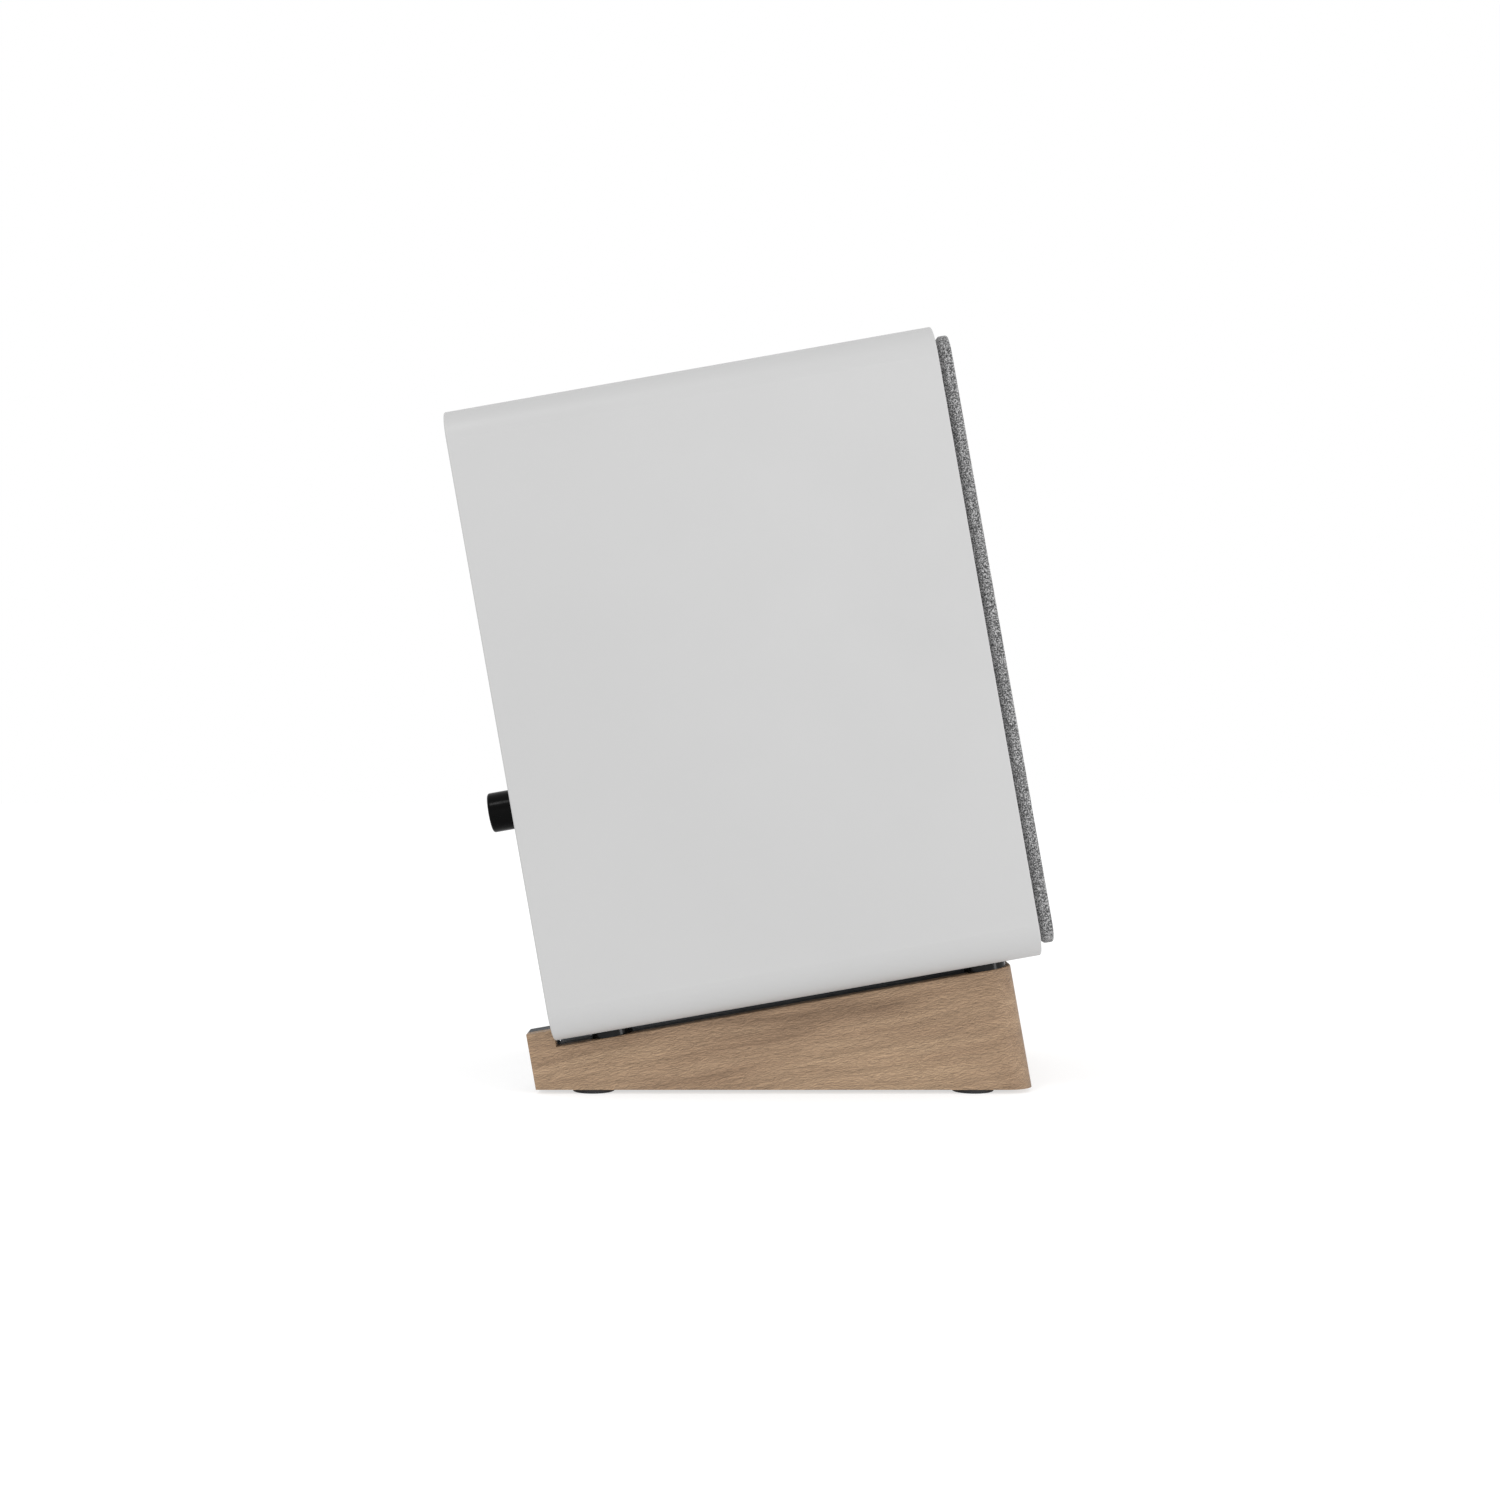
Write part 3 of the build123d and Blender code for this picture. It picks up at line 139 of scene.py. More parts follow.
# --------------------------------------------------------------------- node shorthand
class Nodes:
    """One material's node tree, with short calls for the nodes used here."""

    def __init__(self, name):
        self.material = bpy.data.materials.new(name)
        self.material.use_nodes = True
        self.tree = self.material.node_tree
        self.shader = self.tree.nodes["Principled BSDF"]

    def put(self, socket, value):
        """A link if value comes from a node, else the socket's own value."""
        if isinstance(value, bpy.types.NodeSocket):
            self.tree.links.new(value, socket)
        elif hasattr(value, "__len__") and len(socket.default_value) == 4 and len(value) == 3:
            socket.default_value = (*value, 1)
        else:
            socket.default_value = value

    def add(self, kind, inputs=(), **settings):
        node = self.tree.nodes.new("ShaderNode" + kind)
        for key, value in settings.items():
            setattr(node, key, value)
        for key, value in dict(inputs).items():
            self.put(node.inputs[key], value)
        return node

    def math(self, operation, a, b=0.0, c=0.0):
        return self.add("Math", {0: a, 1: b, 2: c}, operation=operation).outputs[0]

    def place(self):
        """The point on the piece, in the leaning frame."""
        point = self.add("TexCoord").outputs["Object"]
        point = self.add("VectorMath", {0: point, 1: tuple(ORIGIN)}, operation="SUBTRACT").outputs[0]
        return self.add("VectorRotate", {"Vector": point, "Angle": TILT},
                        rotation_type="X_AXIS").outputs[0]

    def stretched(self, vector, scale):
        return self.add("VectorMath", {0: vector, 1: scale}, operation="MULTIPLY").outputs[0]

    def shifted(self, vector, step):
        return self.add("VectorMath", {0: vector, 1: step}, operation="ADD").outputs[0]

    def noise(self, vector, scale, detail=3.0, roughness=0.5, distortion=0.0):
        return self.add("TexNoise", {"Vector": vector, "Scale": scale, "Detail": detail,
                                     "Roughness": roughness, "Distortion": distortion}).outputs[0]

    def ramp(self, value, *stops):
        """stops are (position, colour or grey)."""
        node = self.add("ValToRGB", {0: value})
        ramp = node.color_ramp
        while len(ramp.elements) < len(stops):
            ramp.elements.new(0.5)
        for element, (position, colour) in zip(ramp.elements, stops):
            element.position = position
            element.color = (*colour, 1) if hasattr(colour, "__len__") else (colour,) * 3 + (1,)
        return node.outputs[0]

    def mix(self, factor, a, b, blend="MIX"):
        node = self.add("Mix", data_type="RGBA", blend_type=blend)
        for key, value in ((0, factor), (6, a), (7, b)):
            self.put(node.inputs[key], value)
        return node.outputs[2]

    def bump(self, height, strength, distance, before=None):
        node = self.add("Bump", {"Height": height, "Strength": strength, "Distance": distance})
        if before is not None:
            self.put(node.inputs["Normal"], before)
        return node.outputs[0]

    def from_axis(self, place, centre_z):
        """Distance from a driver's axis."""
        x, _, z = self.add("SeparateXYZ", {0: place}).outputs
        reach = self.add("CombineXYZ", {0: x, 1: self.math("SUBTRACT", z, centre_z)}).outputs[0]
        return self.add("VectorMath", {0: reach}, operation="LENGTH").outputs["Value"]

    def surface(self, **inputs):
        for key, value in inputs.items():
            self.put(self.shader.inputs[key.replace("_", " ")], value)
        return self.material


def shade(colour, factor):
    return tuple(min(1.0, channel * factor) for channel in colour)


def plain(name, colour, rough, metal=0.0, vary=0.08, grain=900, bump=0.06, depth=0.00005,
          rough_vary=0.06, **extra):
    """A moulded, painted or cast surface: slight mottling, uneven gloss and a fine grain."""
    n = Nodes(name)
    place = n.place()
    broad, fine = n.noise(place, 60, 4), n.noise(place, grain, 3, 0.6)
    colour = n.ramp(broad, (0.3, shade(colour, 1 - vary)), (0.7, shade(colour, 1 + vary)))
    gloss = n.ramp(n.noise(place, 220, 3), (0.3, rough - rough_vary), (0.7, rough + rough_vary))
    return n.surface(Base_Color=colour, Roughness=gloss, Metallic=metal,
                     Normal=n.bump(fine, bump, depth), **extra)


def white_lacquer():
    """Satin lacquer sprayed on fibreboard: faint orange peel and hardly any mottling."""
    n = Nodes("white_lacquer")
    place = n.place()
    tone = n.ramp(n.noise(place, 9, 3), (0.35, (0.440, 0.440, 0.440)), (0.65, (0.452, 0.452, 0.452)))
    peel = n.noise(place, 520, 2, 0.4)
    speck = n.noise(place, 3800, 2, 0.6)
    gloss = n.ramp(n.noise(place, 40, 3), (0.3, 0.40), (0.7, 0.48))
    normal = n.bump(speck, 0.05, 0.00003, n.bump(peel, 0.10, 0.00012))
    return n.surface(Base_Color=tone, Roughness=gloss, Normal=normal, Specular_IOR_Level=0.35)


# The stand's outer band: half its width inside the veneer, where its front face lies, and how near
# the middle the grain's direction turns from one side to the other.
WOOD_HALF = 61 * MM
WOOD_FRONT = -79.6 * MM
WOOD_TURN = 20 * MM
# Cells of each layer per metre: along the grain, up it and into it.
SWAY_CELLS = (9, 20, 20)
BAND_CELLS = (7, 60, 60)
STREAK_CELLS = (28, 480, 480)
FIBRE_CELLS = (250, 1080, 1080)
PORE_CELLS = (330, 2600, 2600)
HAIR_CELLS = (400, 5200, 5200)
BAND_SHIFT = (-0.06, 0.0, 0.0)  # slides the light and dark bands round the stand
EMBOSS_SHIFT = (0.0, 0.30, 0.0)  # in fibre cells: one side of each fibre is lit
SWAY_LIFT = 12 * MM


def walnut():
    """Oiled veneer on a bent band: the grain runs round the band, level with the seat. Short wavy fibres
    stand proud between open pores, and broad darker bands run through them. The colour also holds a painted
    highlight on one side of each fibre and painted shade along thin creases between them."""
    n = Nodes("walnut")
    x, y, z = n.add("SeparateXYZ", {0: n.place()}).outputs
    past_front = n.math("SUBTRACT", y, WOOD_FRONT)
    side = n.math("MAXIMUM", n.math("MINIMUM", n.math("DIVIDE", x, WOOD_TURN), 1.0), -1.0)
    along = n.math("ADD", x, n.math("MULTIPLY", past_front, side))
    depth = n.math("MAXIMUM", n.math("SUBTRACT", n.math("ABSOLUTE", x), WOOD_HALF),
                   n.math("SUBTRACT", 0.0, past_front))
    grain = n.add("CombineXYZ", {0: along, 1: z, 2: depth}).outputs[0]
    sway = n.noise(n.stretched(grain, SWAY_CELLS), 1.0, 2)
    lift = n.math("MULTIPLY", n.math("SUBTRACT", sway, 0.5), SWAY_LIFT)
    bent = n.add("CombineXYZ", {0: along, 1: n.math("ADD", z, lift), 2: depth}).outputs[0]
    bands = n.noise(n.stretched(n.shifted(bent, BAND_SHIFT), BAND_CELLS), 1.0, 3, 0.6)
    streaks = n.noise(n.stretched(bent, STREAK_CELLS), 1.0, 4, 0.65)
    wave_place = n.stretched(bent, FIBRE_CELLS)
    beside = n.shifted(wave_place, EMBOSS_SHIFT)
    fibres = n.noise(wave_place, 1.0, 3, 0.55, 1.6)
    # Painted highlight and painted shade: the colour is lighter on one side of each fibre and darker on the
    # other, as a lit relief would look.
    painted_fibre_light = n.math("SUBTRACT", n.noise(beside, 1.0, 3, 0.55, 1.6), fibres)
    pores = n.noise(n.stretched(bent, PORE_CELLS), 1.0, 2, 0.55, 0.9)
    hair = n.noise(n.stretched(bent, HAIR_CELLS), 1.0, 2, 0.6)
    # Painted shade in creases: thin dark lines where the fibre noise crosses its middle.
    painted_crease_shade = n.math("ABSOLUTE", n.math("SUBTRACT", fibres, 0.5))
    colour = n.ramp(bands, (0.32, (0.190, 0.120, 0.072)), (0.44, (0.267, 0.175, 0.108)),
                    (0.58, (0.338, 0.230, 0.144)), (0.74, (0.252, 0.161, 0.100)))
    open_pores = n.ramp(pores, (0.34, 0.72), (0.42, 1.0))
    # Layers multiplied into the colour: streaks, the painted highlight and shade of the fibres, pores,
    # painted crease shade and hair.
    layers = (n.ramp(streaks, (0.34, 0.88), (0.50, 1.0), (0.66, 1.09)),
              n.ramp(n.math("ADD", painted_fibre_light, 0.5), (0.37, 0.76), (0.50, 1.0), (0.63, 1.22)),
              open_pores,
              n.ramp(painted_crease_shade, (0.0, 0.80), (0.035, 1.0)),
              n.ramp(hair, (0.30, 0.90), (0.70, 1.08)))
    for layer in layers:
        colour = n.mix(1.0, colour, layer, "MULTIPLY")
    gloss = n.ramp(streaks, (0.3, 0.60), (0.7, 0.46))
    relief = n.bump(fibres, 0.85, 0.00050)
    relief = n.bump(open_pores, 0.5, 0.00012, relief)
    return n.surface(Base_Color=colour, Roughness=gloss, Specular_IOR_Level=0.3,
                     Normal=n.bump(hair, 0.2, 0.00005, relief))


YARN = 0.38 * MM
SHADE_RUN = 0.60  # how fast a yarn's grey changes along it, against across it


def melange_weave():
    """Plain weave of grey melange yarn, laid out on the cloth's own flat coordinates."""
    n = Nodes("melange_weave")
    flat = n.add("UVMap", uv_map="flat").outputs[0]
    cells = n.stretched(flat, (1 / YARN,) * 3)
    u, v, _ = n.add("SeparateXYZ", {0: cells}).outputs
    across, along = n.math("FRACT", u), n.math("FRACT", v)
    parity = n.math("MODULO", n.math("ADD", n.math("FLOOR", u), n.math("FLOOR", v)), 2.0)
    warp_up = n.math("COMPARE", n.math("ABSOLUTE", parity), 1.0, 0.25)
    round_u = n.math("SINE", n.math("MULTIPLY", across, math.pi))
    round_v = n.math("SINE", n.math("MULTIPLY", along, math.pi))

    def yarn_height(round_across, round_along):
        arch = n.math("ADD", n.math("MULTIPLY", round_along, 0.6), 0.4)
        return n.math("MULTIPLY", n.math("POWER", round_across, 0.5), arch)

    def yarn_shade(cell_u, cell_v, layer):
        cell = n.add("CombineXYZ", {0: cell_u, 1: cell_v, 2: layer}).outputs[0]
        return n.noise(cell, 0.78, 2, 0.65)

    height = n.mix(warp_up, yarn_height(round_v, round_u), yarn_height(round_u, round_v))
    warp = yarn_shade(n.math("FLOOR", u), n.math("MULTIPLY", v, SHADE_RUN), 3.0)
    weft = yarn_shade(n.math("MULTIPLY", u, SHADE_RUN), n.math("FLOOR", v), 9.0)
    blend = n.mix(warp_up, weft, warp)
    slub = n.noise(n.stretched(cells, (0.12, 0.5, 0)), 1.0, 3, 0.6)
    fibre = n.noise(cells, 5.0, 2, 0.7)
    yarn = n.ramp(blend, (0.385, (0.034, 0.034, 0.035)), (0.50, (0.150, 0.150, 0.152)),
                  (0.605, (0.50, 0.50, 0.502)))
    # Painted shade: the colour darkens where the yarn is low, in the hollows between yarns.
    painted_hollow_shade = n.ramp(height, (0.0, 0.35), (0.55, 1.0))
    colour = n.mix(1.0, yarn, painted_hollow_shade, "MULTIPLY")
    colour = n.mix(1.0, colour, n.ramp(slub, (0.3, 0.94), (0.7, 1.06)), "MULTIPLY")
    colour = n.mix(1.0, colour, n.ramp(fibre, (0.3, 0.82), (0.7, 1.18)), "MULTIPLY")
    normal = n.bump(fibre, 0.25, 0.00003, n.bump(height, 0.8, 0.00012))
    return n.surface(Base_Color=colour, Roughness=0.92, Normal=normal, Sheen_Weight=0.25,
                     Sheen_Roughness=0.5, Specular_IOR_Level=0.2)


BRUSH_CELLS = 120.0  # per metre along the brush


def brushed(name, colour, rough, direction=(1, 60, 60), metal=1.0):
    """Metal or anodised sheet with a fine directional brush."""
    n = Nodes(name)
    lines = n.noise(n.stretched(n.place(), tuple(BRUSH_CELLS * d for d in direction)), 1.0, 4, 0.65)
    tone = n.ramp(lines, (0.3, shade(colour, 0.86)), (0.7, shade(colour, 1.14)))
    gloss = n.ramp(lines, (0.3, rough - 0.06), (0.7, rough + 0.08))
    return n.surface(Base_Color=tone, Roughness=gloss, Metallic=metal, Normal=n.bump(lines, 0.12, 0.00003))


def turned_metal(name, colour, rough, centre_z):
    """A machined face with fine rings round its axis."""
    n = Nodes(name)
    radius = n.from_axis(n.place(), centre_z)
    rings = n.noise(n.add("CombineXYZ", {0: radius}).outputs[0], 9000, 3, 0.6)
    tone = n.ramp(rings, (0.3, shade(colour, 0.9)), (0.7, shade(colour, 1.1)))
    return n.surface(Base_Color=tone, Roughness=rough, Metallic=1.0, Normal=n.bump(rings, 0.15, 0.00004))


RING_PITCH = 2.4 * MM


def coated_cone(centre_z):
    """Coated fibre cone: felted fibres with faint concentric forming rings."""
    n = Nodes("coated_cone")
    place = n.place()
    radius = n.from_axis(place, centre_z)
    rings = n.math("SINE", n.math("MULTIPLY", radius, 2 * math.pi / RING_PITCH))
    felt = n.noise(place, 1500, 5, 0.7, 1.5)
    tone = n.ramp(n.noise(place, 420, 4, 0.7), (0.3, (0.030, 0.030, 0.032)), (0.7, (0.060, 0.060, 0.063)))
    gloss = n.ramp(felt, (0.3, 0.48), (0.7, 0.66))
    normal = n.bump(felt, 0.35, 0.00008, n.bump(rings, 0.25, 0.00012))
    return n.surface(Base_Color=tone, Roughness=gloss, Normal=normal)


def circuit_board():
    """Green solder mask over square patches of copper."""
    n = Nodes("circuit_board")
    cells = n.add("TexVoronoi", {"Vector": n.place(), "Scale": 160.0},
                  feature="F1", distance="MANHATTAN").outputs["Distance"]
    tone = n.ramp(cells, (0.30, (0.012, 0.10, 0.045)), (0.36, (0.02, 0.16, 0.07)))
    return n.surface(Base_Color=tone, Roughness=0.35, Normal=n.bump(cells, 0.2, 0.0001))


def make_materials():
    """One material for each slot of the record."""
    return {
        "white_paint": white_lacquer(),
        "raw_board": plain("raw_board", (0.42, 0.30, 0.19), 0.85, vary=0.2, grain=2500, bump=0.5),
        "wood_veneer": walnut(),
        "stand_liner": plain("stand_liner", (0.044, 0.049, 0.055), 0.6, vary=0.12, grain=2200, bump=0.25,
                             Specular_IOR_Level=0.2),
        "black_rubber": plain("black_rubber", (0.014, 0.014, 0.015), 0.62, vary=0.2, grain=2600, bump=0.22,
                              Specular_IOR_Level=0.3),
        "gloss_foot": plain("gloss_foot", (0.006, 0.006, 0.006), 0.16, grain=500, bump=0.02, rough_vary=0.03,
                            Specular_IOR_Level=0.15),
        "black_plastic": plain("black_plastic", (0.022, 0.022, 0.023), 0.5, vary=0.15, grain=3200, bump=0.35,
                               depth=0.00008),
        "knob_plastic": plain("knob_plastic", (0.0016, 0.0016, 0.0017), 0.24, grain=1500, bump=0.03,
                              rough_vary=0.03, Specular_IOR_Level=0.06),
        "grille_fabric": melange_weave(),
        "cone_paper": coated_cone(WOOFER_Z),
        "dome_silk": plain("dome_silk", (0.03, 0.03, 0.031), 0.45, vary=0.15, grain=4200, bump=0.5),
        "basket_steel": plain("basket_steel", (0.03, 0.03, 0.031), 0.42, vary=0.1, grain=2600, bump=0.35),
        "steel": turned_metal("steel", (0.56, 0.56, 0.57), 0.32, WOOFER_Z),
        "ferrite": plain("ferrite", (0.06, 0.06, 0.064), 0.6, vary=0.25, grain=1800, bump=0.4),
        "copper": brushed("copper", (0.55, 0.26, 0.12), 0.35, (60, 60, 1)),
        "spider_cloth": plain("spider_cloth", (0.46, 0.32, 0.14), 0.8, vary=0.2, grain=3800, bump=0.6),
        "magnet_nickel": plain("magnet_nickel", (0.62, 0.62, 0.62), 0.22, metal=1.0, grain=1200, bump=0.05),
        "black_screw": plain("black_screw", (0.03, 0.03, 0.032), 0.34, metal=0.8, grain=2500, bump=0.12),
        "plate_black": brushed("plate_black", (0.030, 0.030, 0.032), 0.42, metal=0.6),
        "nickel": brushed("nickel", (0.66, 0.64, 0.60), 0.24, (60, 1, 60)),
        "red_plastic": plain("red_plastic", (0.42, 0.012, 0.012), 0.32, grain=2000, bump=0.1),
        "white_plastic": plain("white_plastic", (0.72, 0.72, 0.70), 0.34, grain=2000, bump=0.1),
        "led_lens": plain("led_lens", (0.75, 0.80, 0.84), 0.25, vary=0.04, grain=2000, bump=0.05,
                          Transmission_Weight=0.5),
        "board_green": circuit_board(),
        "heatsink_alu": brushed("heatsink_alu", (0.60, 0.60, 0.61), 0.35, (60, 1, 60)),
        "capacitor_sleeve": plain("capacitor_sleeve", (0.02, 0.03, 0.09), 0.3, grain=900, bump=0.05),
        "transformer_tape": plain("transformer_tape", (0.50, 0.34, 0.05), 0.3, vary=0.15, grain=700,
                                  bump=0.2),
        "foam": plain("foam", (0.050, 0.050, 0.053), 0.95, vary=0.3, grain=2600, bump=0.9, depth=0.0003),
        "lead_jacket": plain("lead_jacket", (0.02, 0.02, 0.02), 0.5, grain=1500, bump=0.1),
    }


# -------------------------------------------------------------------------- mesh tools
def make_piece(name, points, faces, material, body):
    """A mesh piece from points in the leaning frame, riding on a body, or on none yet."""
    mesh = bpy.data.meshes.new(name)
    mesh.from_pydata([tuple(LEAN @ Vector(point)) for point in points], [], faces)
    mesh.update()
    mesh.shade_smooth()
    mesh.materials.append(material)
    piece = bpy.data.objects.new(name, mesh)
    bpy.context.collection.objects.link(piece)
    if body is not None:
        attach(piece, body)
    return piece


def curve_points(start, middle, end, count):
    """Points of the circular arc through three points, without its first point."""
    (ax, ay), (bx, by), (cx, cy) = start, middle, end
    a2, b2, c2 = ax**2 + ay**2, bx**2 + by**2, cx**2 + cy**2
    d = 2 * (ax * (by - cy) + bx * (cy - ay) + cx * (ay - by))
    ux = (a2 * (by - cy) + b2 * (cy - ay) + c2 * (ay - by)) / d
    uy = (a2 * (cx - bx) + b2 * (ax - cx) + c2 * (bx - ax)) / d
    radius = math.hypot(ax - ux, ay - uy)
    first, mid, last = (math.atan2(py - uy, px - ux) for px, py in (start, middle, end))
    turn = (last - first) % (2 * math.pi)
    if (mid - first) % (2 * math.pi) > turn:
        turn -= 2 * math.pi
    angles = [first + turn * k / count for k in range(1, count + 1)]
    return [(ux + radius * math.cos(angle), uy + radius * math.sin(angle)) for angle in angles]


def turned(name, profile, centre_z, material, body, segments=160):
    """A closed profile of (radius, depth behind the baffle) in mm, turned about the driver's axis.
    A point on the axis becomes one shared point."""
    points, rings = [], []
    for radius, depth in profile:
        if radius == 0:
            points.append((0, FRONT + depth * MM, centre_z))
            rings.append([len(points) - 1] * segments)
            continue
        rings.append(list(range(len(points), len(points) + segments)))
        for k in range(segments):
            angle = 2 * math.pi * k / segments
            points.append((radius * MM * math.cos(angle), FRONT + depth * MM,
                           centre_z + radius * MM * math.sin(angle)))
    faces = []
    for ring, after in zip(rings, rings[1:] + rings[:1]):
        for k in range(segments):
            j = (k + 1) % segments
            face = list(dict.fromkeys((ring[k], ring[j], after[j], after[k])))
            if len(face) > 2:
                faces.append(face)
    return make_piece(name, points, faces, material, body)


def flex_between(piece):
    """Bakes the piece's placement into its mesh, so that it stands on its own with no body."""
    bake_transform(piece)


# ------------------------------------------------------------------------ the drivers
# Profiles are (radius, depth behind the baffle's face) in mm. The first group is where the
# woofer's roll starts and ends, and how thick it is.
ROLL_OUTER, ROLL_MIDDLE, ROLL_INNER = 47.7, 43.1, 38.5
ROLL_RISE, ROLL_T = 3.1, 0.6
LIP, LEDGE = 2.2, 2.8
ROLL_STEPS = 20
SMALL_SEGMENTS = 128


def make_woofer_surround(materials):
    """A half roll of rubber between the basket's rim and the cone's edge."""
    rim, glue = 51.2, 36.4
    front = curve_points((ROLL_OUTER, LIP), (ROLL_MIDDLE, LIP - ROLL_RISE), (ROLL_INNER, LIP), ROLL_STEPS)
    back = curve_points((ROLL_INNER + ROLL_T, LEDGE), (ROLL_MIDDLE, LEDGE - ROLL_RISE),
                        (ROLL_OUTER - ROLL_T, LEDGE), ROLL_STEPS)
    profile = [(rim, LIP), (ROLL_OUTER, LIP), *front, (glue, LIP),
               (glue, LEDGE), (ROLL_INNER + ROLL_T, LEDGE), *back, (rim, LEDGE)]
    surround = turned("woofer_surround_roll", profile, WOOFER_Z, materials["black_rubber"], None)
    flex_between(surround)
    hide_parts("woofer_surround")


def make_cone(materials):
    """A curved cone, from the lip glued to the surround down to the voice coil's former."""
    lip, throat = 38.3, 13.0
    front = curve_points((36.2, LEDGE), (23.6, 14.2), (throat, 22.0), 28)
    back = curve_points((throat, 23.2), (24.3, 15.0), (36.7, LEDGE + 0.7), 28)
    profile = [(lip, LEDGE), (36.2, LEDGE), *front, (throat, 23.2), *back, (lip, LEDGE + 0.7)]
    cone = turned("woofer_cone_paper", profile, WOOFER_Z, materials["cone_paper"], "woofer_diaphragm")
    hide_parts("woofer_cone")


def make_dust_cap(materials):
    """A dome of an even thickness, cut from a sphere."""
    edge, peak, rim, thick, steps = 16.0, 13.6, 19.9, 0.6, 20
    outer = (edge**2 + (rim - peak) ** 2) / (2 * (rim - peak))
    inner = outer - thick
    sweep = math.asin(edge / outer)
    angles = [sweep * k / steps for k in range(steps + 1)]
    shell = [(outer * math.sin(angle), peak + outer * (1 - math.cos(angle))) for angle in angles]
    inside = [(inner * math.sin(angle), peak + outer - inner * math.cos(angle)) for angle in angles[::-1]]
    cap = turned("woofer_cap_dome", shell + inside, WOOFER_Z, materials["cone_paper"], "woofer_diaphragm",
                 SMALL_SEGMENTS)
    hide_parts("woofer_dust_cap")


def make_spider(materials):
    """The corrugated disc that centres the voice coil."""
    hub, start, end, rim = 13.0, 15.0, 31.0, 34.7
    depth, swing, waves, thick, steps = 34.2, 1.1, 4.5, 0.5, 96
    shares = [k / steps for k in range(steps + 1)]
    wave = [(start + (end - start) * share, depth + swing * math.sin(2 * math.pi * waves * share))
            for share in shares]
    front = [(hub, depth), *wave, (rim, depth)]
    back = [(radius, behind + thick) for radius, behind in reversed(front)]
    spider = turned("woofer_spider_cloth", front + back, WOOFER_Z, materials["spider_cloth"], None,
                    SMALL_SEGMENTS)
    flex_between(spider)
    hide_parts("woofer_spider")


def make_tweeter(materials):
    """The small half roll round the tweeter's dome."""
    back, thick, rim, hub = 5.0, 0.4, 18.9, 13.0
    outer, middle, inner, peak = 16.5, 14.9, 13.3, 3.6
    behind = back + thick
    front_arc = curve_points((outer, back), (middle, peak), (inner, back), 12)
    back_arc = curve_points((inner + thick, behind), (middle, peak + thick), (outer - thick, behind), 12)
    profile = [(rim, back), (outer, back), *front_arc, (hub, back),
               (hub, behind), (inner + thick, behind), *back_arc, (rim, behind)]
    surround = turned("tweeter_surround_roll", profile, TWEETER_Z, materials["dome_silk"], None,
                      SMALL_SEGMENTS)
    flex_between(surround)
    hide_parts("tweeter_surround")


# ------------------------------------------------------------------------- the grille
GRILLE_HALF_W, GRILLE_HALF_H = 70.5 * MM, 112.5 * MM
GRILLE_BACK, GRILLE_DEEP = FRONT - 0.3 * MM, 5.15 * MM
GRILLE_CORNER, GRILLE_CHAMFER, GRILLE_ROUND = 8.5 * MM, 1.9 * MM, 0.8 * MM
CLOTH_T = 0.45 * MM
HEM = 7.6 * MM
FACE_LOOPS = 26
LEAST_CORNER = 0.35 * MM
CORNER_STEPS, SIDE_STEPS = 10, (40, 64)


def rounded_loop(inset):
    """Points round a rounded rectangle drawn in by inset. Every loop has the same number of
    points, so that loops join."""
    half_w, half_h = GRILLE_HALF_W - inset, GRILLE_HALF_H - inset
    corner = max(GRILLE_CORNER - inset, LEAST_CORNER)
    centres = [(sx * (half_w - corner), sz * (half_h - corner))
               for sx, sz in ((1, 1), (-1, 1), (-1, -1), (1, -1))]
    loop = []
    for quarter, (cx, cz) in enumerate(centres):
        for k in range(CORNER_STEPS + 1):
            angle = math.radians(90 * quarter + 90 * k / CORNER_STEPS)
            loop.append((cx + corner * math.cos(angle), cz + corner * math.sin(angle)))
        px, pz = loop[-1]
        (ax, az), end = centres[(quarter + 1) % 4], math.radians(90 * (quarter + 1))
        nx, nz = ax + corner * math.cos(end), az + corner * math.sin(end)
        steps = SIDE_STEPS[quarter % 2]
        for k in range(1, steps):
            loop.append((px + (nx - px) * k / steps, pz + (nz - pz) * k / steps))
    return loop


def cloth_path():
    """(inset, depth ahead of the grille's back, length of cloth so far) from the middle of the front
    face, over the front edge, down the side, round the chamfer and to the end of the hem."""
    ease = 0.12 * MM
    past_chamfer = GRILLE_CHAMFER + 0.15 * MM
    corner_arc = []
    for angle in range(0, 91, 15):
        turn = math.radians(angle)
        corner_arc.append((GRILLE_ROUND * (1 - math.sin(turn)),
                           GRILLE_DEEP - GRILLE_ROUND * (1 - math.cos(turn))))
    insets = np.linspace(GRILLE_HALF_W - 0.4 * MM, 2.5 * MM, FACE_LOOPS)
    face = [(inset, GRILLE_DEEP) for inset in insets]
    side = [(0.0, depth) for depth in (3.4 * MM, 2.6 * MM, past_chamfer)]
    slope = [(ease, GRILLE_CHAMFER - ease), (GRILLE_CHAMFER / 2, GRILLE_CHAMFER / 2),
             (GRILLE_CHAMFER - ease, ease)]
    hem = [(past_chamfer + HEM * k / 4, 0.0) for k in range(5)]
    path = face + corner_arc + side + slope + hem
    lengths = [0.0]
    for (a, b), (c, d) in zip(path, path[1:]):
        lengths.append(lengths[-1] + math.hypot(c - a, d - b))
    return [(inset, depth, length) for (inset, depth), length in zip(path, lengths)]


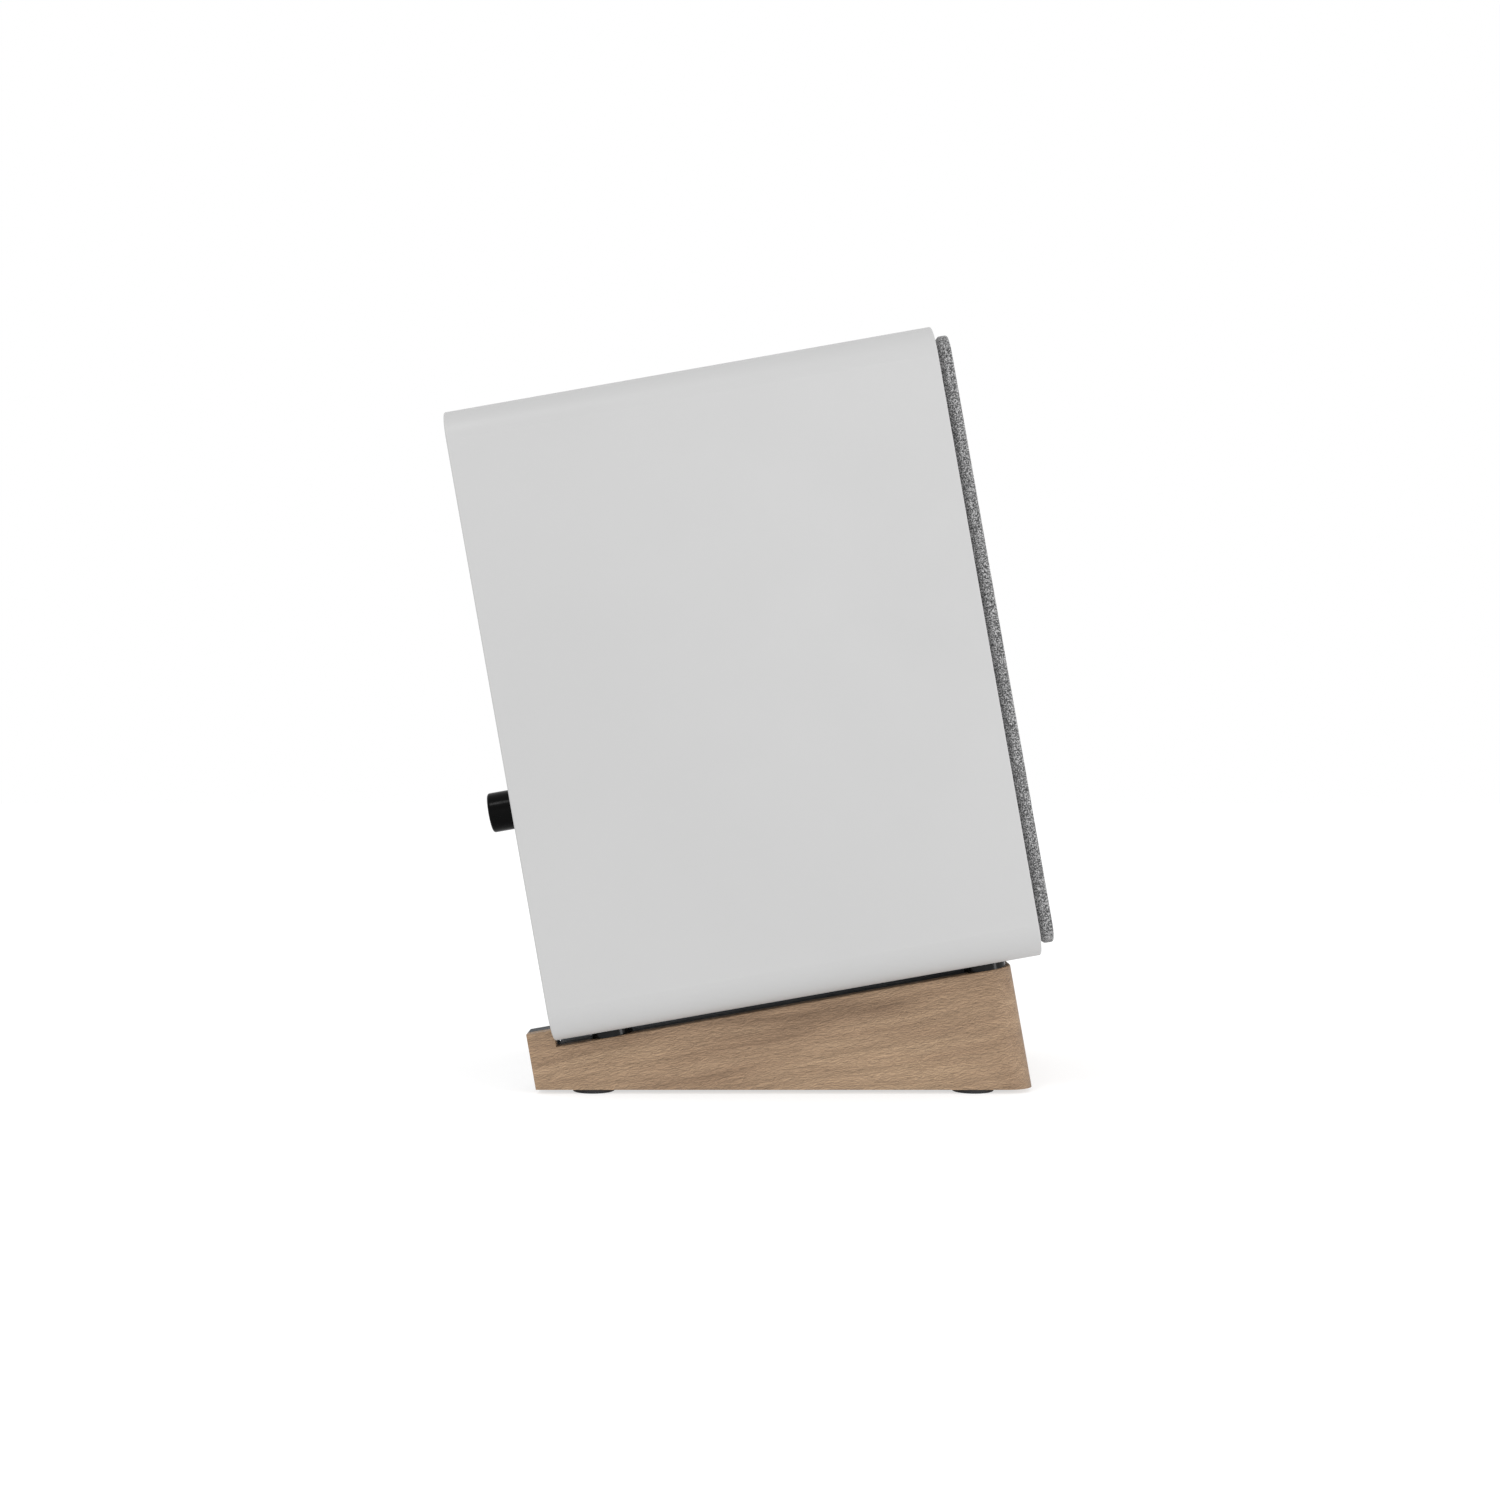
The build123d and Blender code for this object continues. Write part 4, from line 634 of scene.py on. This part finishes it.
def cloth_points(path):
    """Loops of points of the cloth's outer and inner face, as rows of indices, with each point's
    place on the flat front and its length along the path."""
    points, flats, bands, rows = [], [], [], []
    for sunk in (0.0, CLOTH_T):
        for index, (inset, depth, length) in enumerate(path):
            before, after = path[max(index - 1, 0)], path[min(index + 1, len(path) - 1)]
            run = (after[0] - before[0], after[1] - before[1])
            size = math.hypot(*run)
            inward = (-run[1] / size, run[0] / size) if index >= FACE_LOOPS else (0.0, -1.0)
            loop = rounded_loop(max(inset + inward[0] * sunk, 0))
            rows.append(range(len(points), len(points) + len(loop)))
            for x, z in loop:
                points.append((x, GRILLE_BACK - depth - inward[1] * sunk, CABINET_HEIGHT / 2 + z))
                flats.append((x, z))
                bands.append(length)
    return points, flats, bands, rows


def length_round(loop):
    """Length from the loop's first point to each point, and back to the first."""
    lengths = [0.0]
    for (ax, az), (bx, bz) in zip(loop, loop[1:] + loop[:1]):
        lengths.append(lengths[-1] + math.hypot(bx - ax, bz - az))
    return lengths


def cloth_faces(loops, flats, bands, rows):
    """The cloth's faces, and the flat coordinates of each face's corners: the face's own in front,
    and the lengths round the edge and along the path beyond it."""
    edge = rounded_loop(0.0)
    count, round_edge = len(edge), length_round(edge)
    faces, coordinates = [], []

    def add_strip(a, b, on_front, turned_over=False):
        for i in range(count):
            j = (i + 1) % count
            corners = (a[i], b[i], b[j], a[j])
            if on_front:
                places = [flats[corner] for corner in corners]
            else:
                places = [(round_edge[i + step], bands[corner])
                          for corner, step in zip(corners, (0, 0, 1, 1))]
            faces.append(corners[::-1] if turned_over else corners)
            coordinates.extend(places[::-1] if turned_over else places)

    for layer, turned_over in enumerate((False, True)):
        own = rows[layer * loops:(layer + 1) * loops]
        for k in range(loops - 1):
            add_strip(own[k], own[k + 1], k < FACE_LOOPS - 1, turned_over)
        middle = tuple(own[0])[::-1] if turned_over else tuple(own[0])
        faces.append(middle)
        coordinates.extend(flats[corner] for corner in middle)
    add_strip(rows[loops - 1], rows[2 * loops - 1], False)
    return faces, coordinates


def make_grille(materials):
    """The fabric, stretched over the frame and glued behind it, as one sheet with a real thickness."""
    path = cloth_path()
    points, flats, bands, rows = cloth_points(path)
    faces, coordinates = cloth_faces(len(path), flats, bands, rows)
    cloth = make_piece("grille_fabric", points, faces, materials["grille_fabric"], "grille")
    layer = cloth.data.uv_layers.new(name="flat")
    layer.data.foreach_set("uv", np.array(coordinates, np.float32).ravel())
    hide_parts("grille_cloth")


# --------------------------------------------------------------------------- the foam
FOAM_HALF, FOAM_LOW, FOAM_TALL = 61.5 * MM, 12.5 * MM, 120 * MM
FOAM_FRONT, FOAM_LONG, FOAM_T = -68 * MM, 104 * MM, 8 * MM
FOAM_TURN, FOAM_SLACK = 2 * MM, 0.4 * MM
CRATE_PITCH, CRATE_DIP = 16 * MM, 2.6 * MM
WALL_STEPS, FLOOR_STEPS, LONG_STEPS = 40, 42, 36


def foam_spine():
    """(x, z, whether it is on a side wall) down the left wall, over the floor and up the right."""
    climb = (FOAM_TALL - FOAM_TURN) / WALL_STEPS
    stride = 2 * (FOAM_HALF - FOAM_TURN) / FLOOR_STEPS
    down = [(-FOAM_HALF, FOAM_LOW + FOAM_TALL - k * climb, True) for k in range(WALL_STEPS + 1)]
    over = [(-FOAM_HALF + FOAM_TURN + k * stride, FOAM_LOW, False) for k in range(FLOOR_STEPS + 1)]
    up = [(FOAM_HALF, FOAM_LOW + FOAM_TURN + k * climb, True) for k in range(WALL_STEPS + 1)]
    return down + over + up


def crate_depth(x, y, z, on_wall):
    """How far the foam's open face stands off the wall behind it."""
    across = math.sin(2 * math.pi * (z if on_wall else x) / CRATE_PITCH)
    wave = math.sin(2 * math.pi * y / CRATE_PITCH) * across
    return FOAM_T - FOAM_SLACK - CRATE_DIP * (1 - wave) / 2


def make_foam(materials):
    """One strip of egg-crate foam, bent to a U against the side walls and the floor."""
    spine = foam_spine()
    width, sheet = len(spine), (LONG_STEPS + 1) * len(spine)
    ys = [FOAM_FRONT + FOAM_LONG * j / LONG_STEPS for j in range(LONG_STEPS + 1)]
    points = [(x, y, z) for y in ys for x, z, _ in spine]
    for y in ys:
        for x, z, on_wall in spine:
            deep = crate_depth(x, y, z, on_wall)
            points.append((min(FOAM_HALF - deep, max(-FOAM_HALF + deep, x)), y, max(FOAM_LOW + deep, z)))
    faces = []
    for layer in range(2):
        for j in range(LONG_STEPS):
            for i in range(width - 1):
                a = layer * sheet + j * width + i
                face = (a, a + 1, a + 1 + width, a + width)
                faces.append(face if layer == 0 else face[::-1])
    rim = [j * width for j in range(LONG_STEPS + 1)]
    rim += [LONG_STEPS * width + i for i in range(1, width)]
    rim += [j * width + width - 1 for j in range(LONG_STEPS - 1, -1, -1)]
    rim += list(range(width - 2, 0, -1))
    for a, b in zip(rim, rim[1:] + rim[:1]):
        faces.append((a, b, b + sheet, a + sheet))
    foam = make_piece("egg_crate_foam", points, faces, materials["foam"], "cabinet")
    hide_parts("damping_foam")


# ------------------------------------------------------------------------ CAD pieces
# Widths of the softened edges in mm.
BEVELLED = {
    "stand_wood_band": 0.35, "stand_inner_frame": 0.4, "amp_plate": 0.25, "terminal_housing": 0.3,
    "switch_housing": 0.3, "mains_inlet": 0.3, "terminal_lever_red": 0.3, "terminal_lever_black": 0.3,
    "power_rocker": 0.3, "grille_frame": 0.3, "front_baffle": 0.3,
}


def finish_cad(materials):
    """Materials on every CAD piece, and softened edges on the ones that are seen close."""
    slots = {part["node"]: part["material_slot"] for part in RECORD["subparts"]}
    for node, piece in frame["nodes"].items():
        piece.data.materials.clear()
        piece.data.materials.append(materials[slots[node]])
        if node in BEVELLED:
            bevel = piece.modifiers.new("bevel", "BEVEL")
            bevel.width, bevel.segments, bevel.limit_method = BEVELLED[node] * MM, 2, "ANGLE"
            bevel.angle_limit = math.radians(35)


make_camera()
make_studio()
make_floor()
MATERIALS = make_materials()
finish_cad(MATERIALS)
make_woofer_surround(MATERIALS)
make_cone(MATERIALS)
make_dust_cap(MATERIALS)
make_spider(MATERIALS)
make_tweeter(MATERIALS)
make_grille(MATERIALS)
make_foam(MATERIALS)
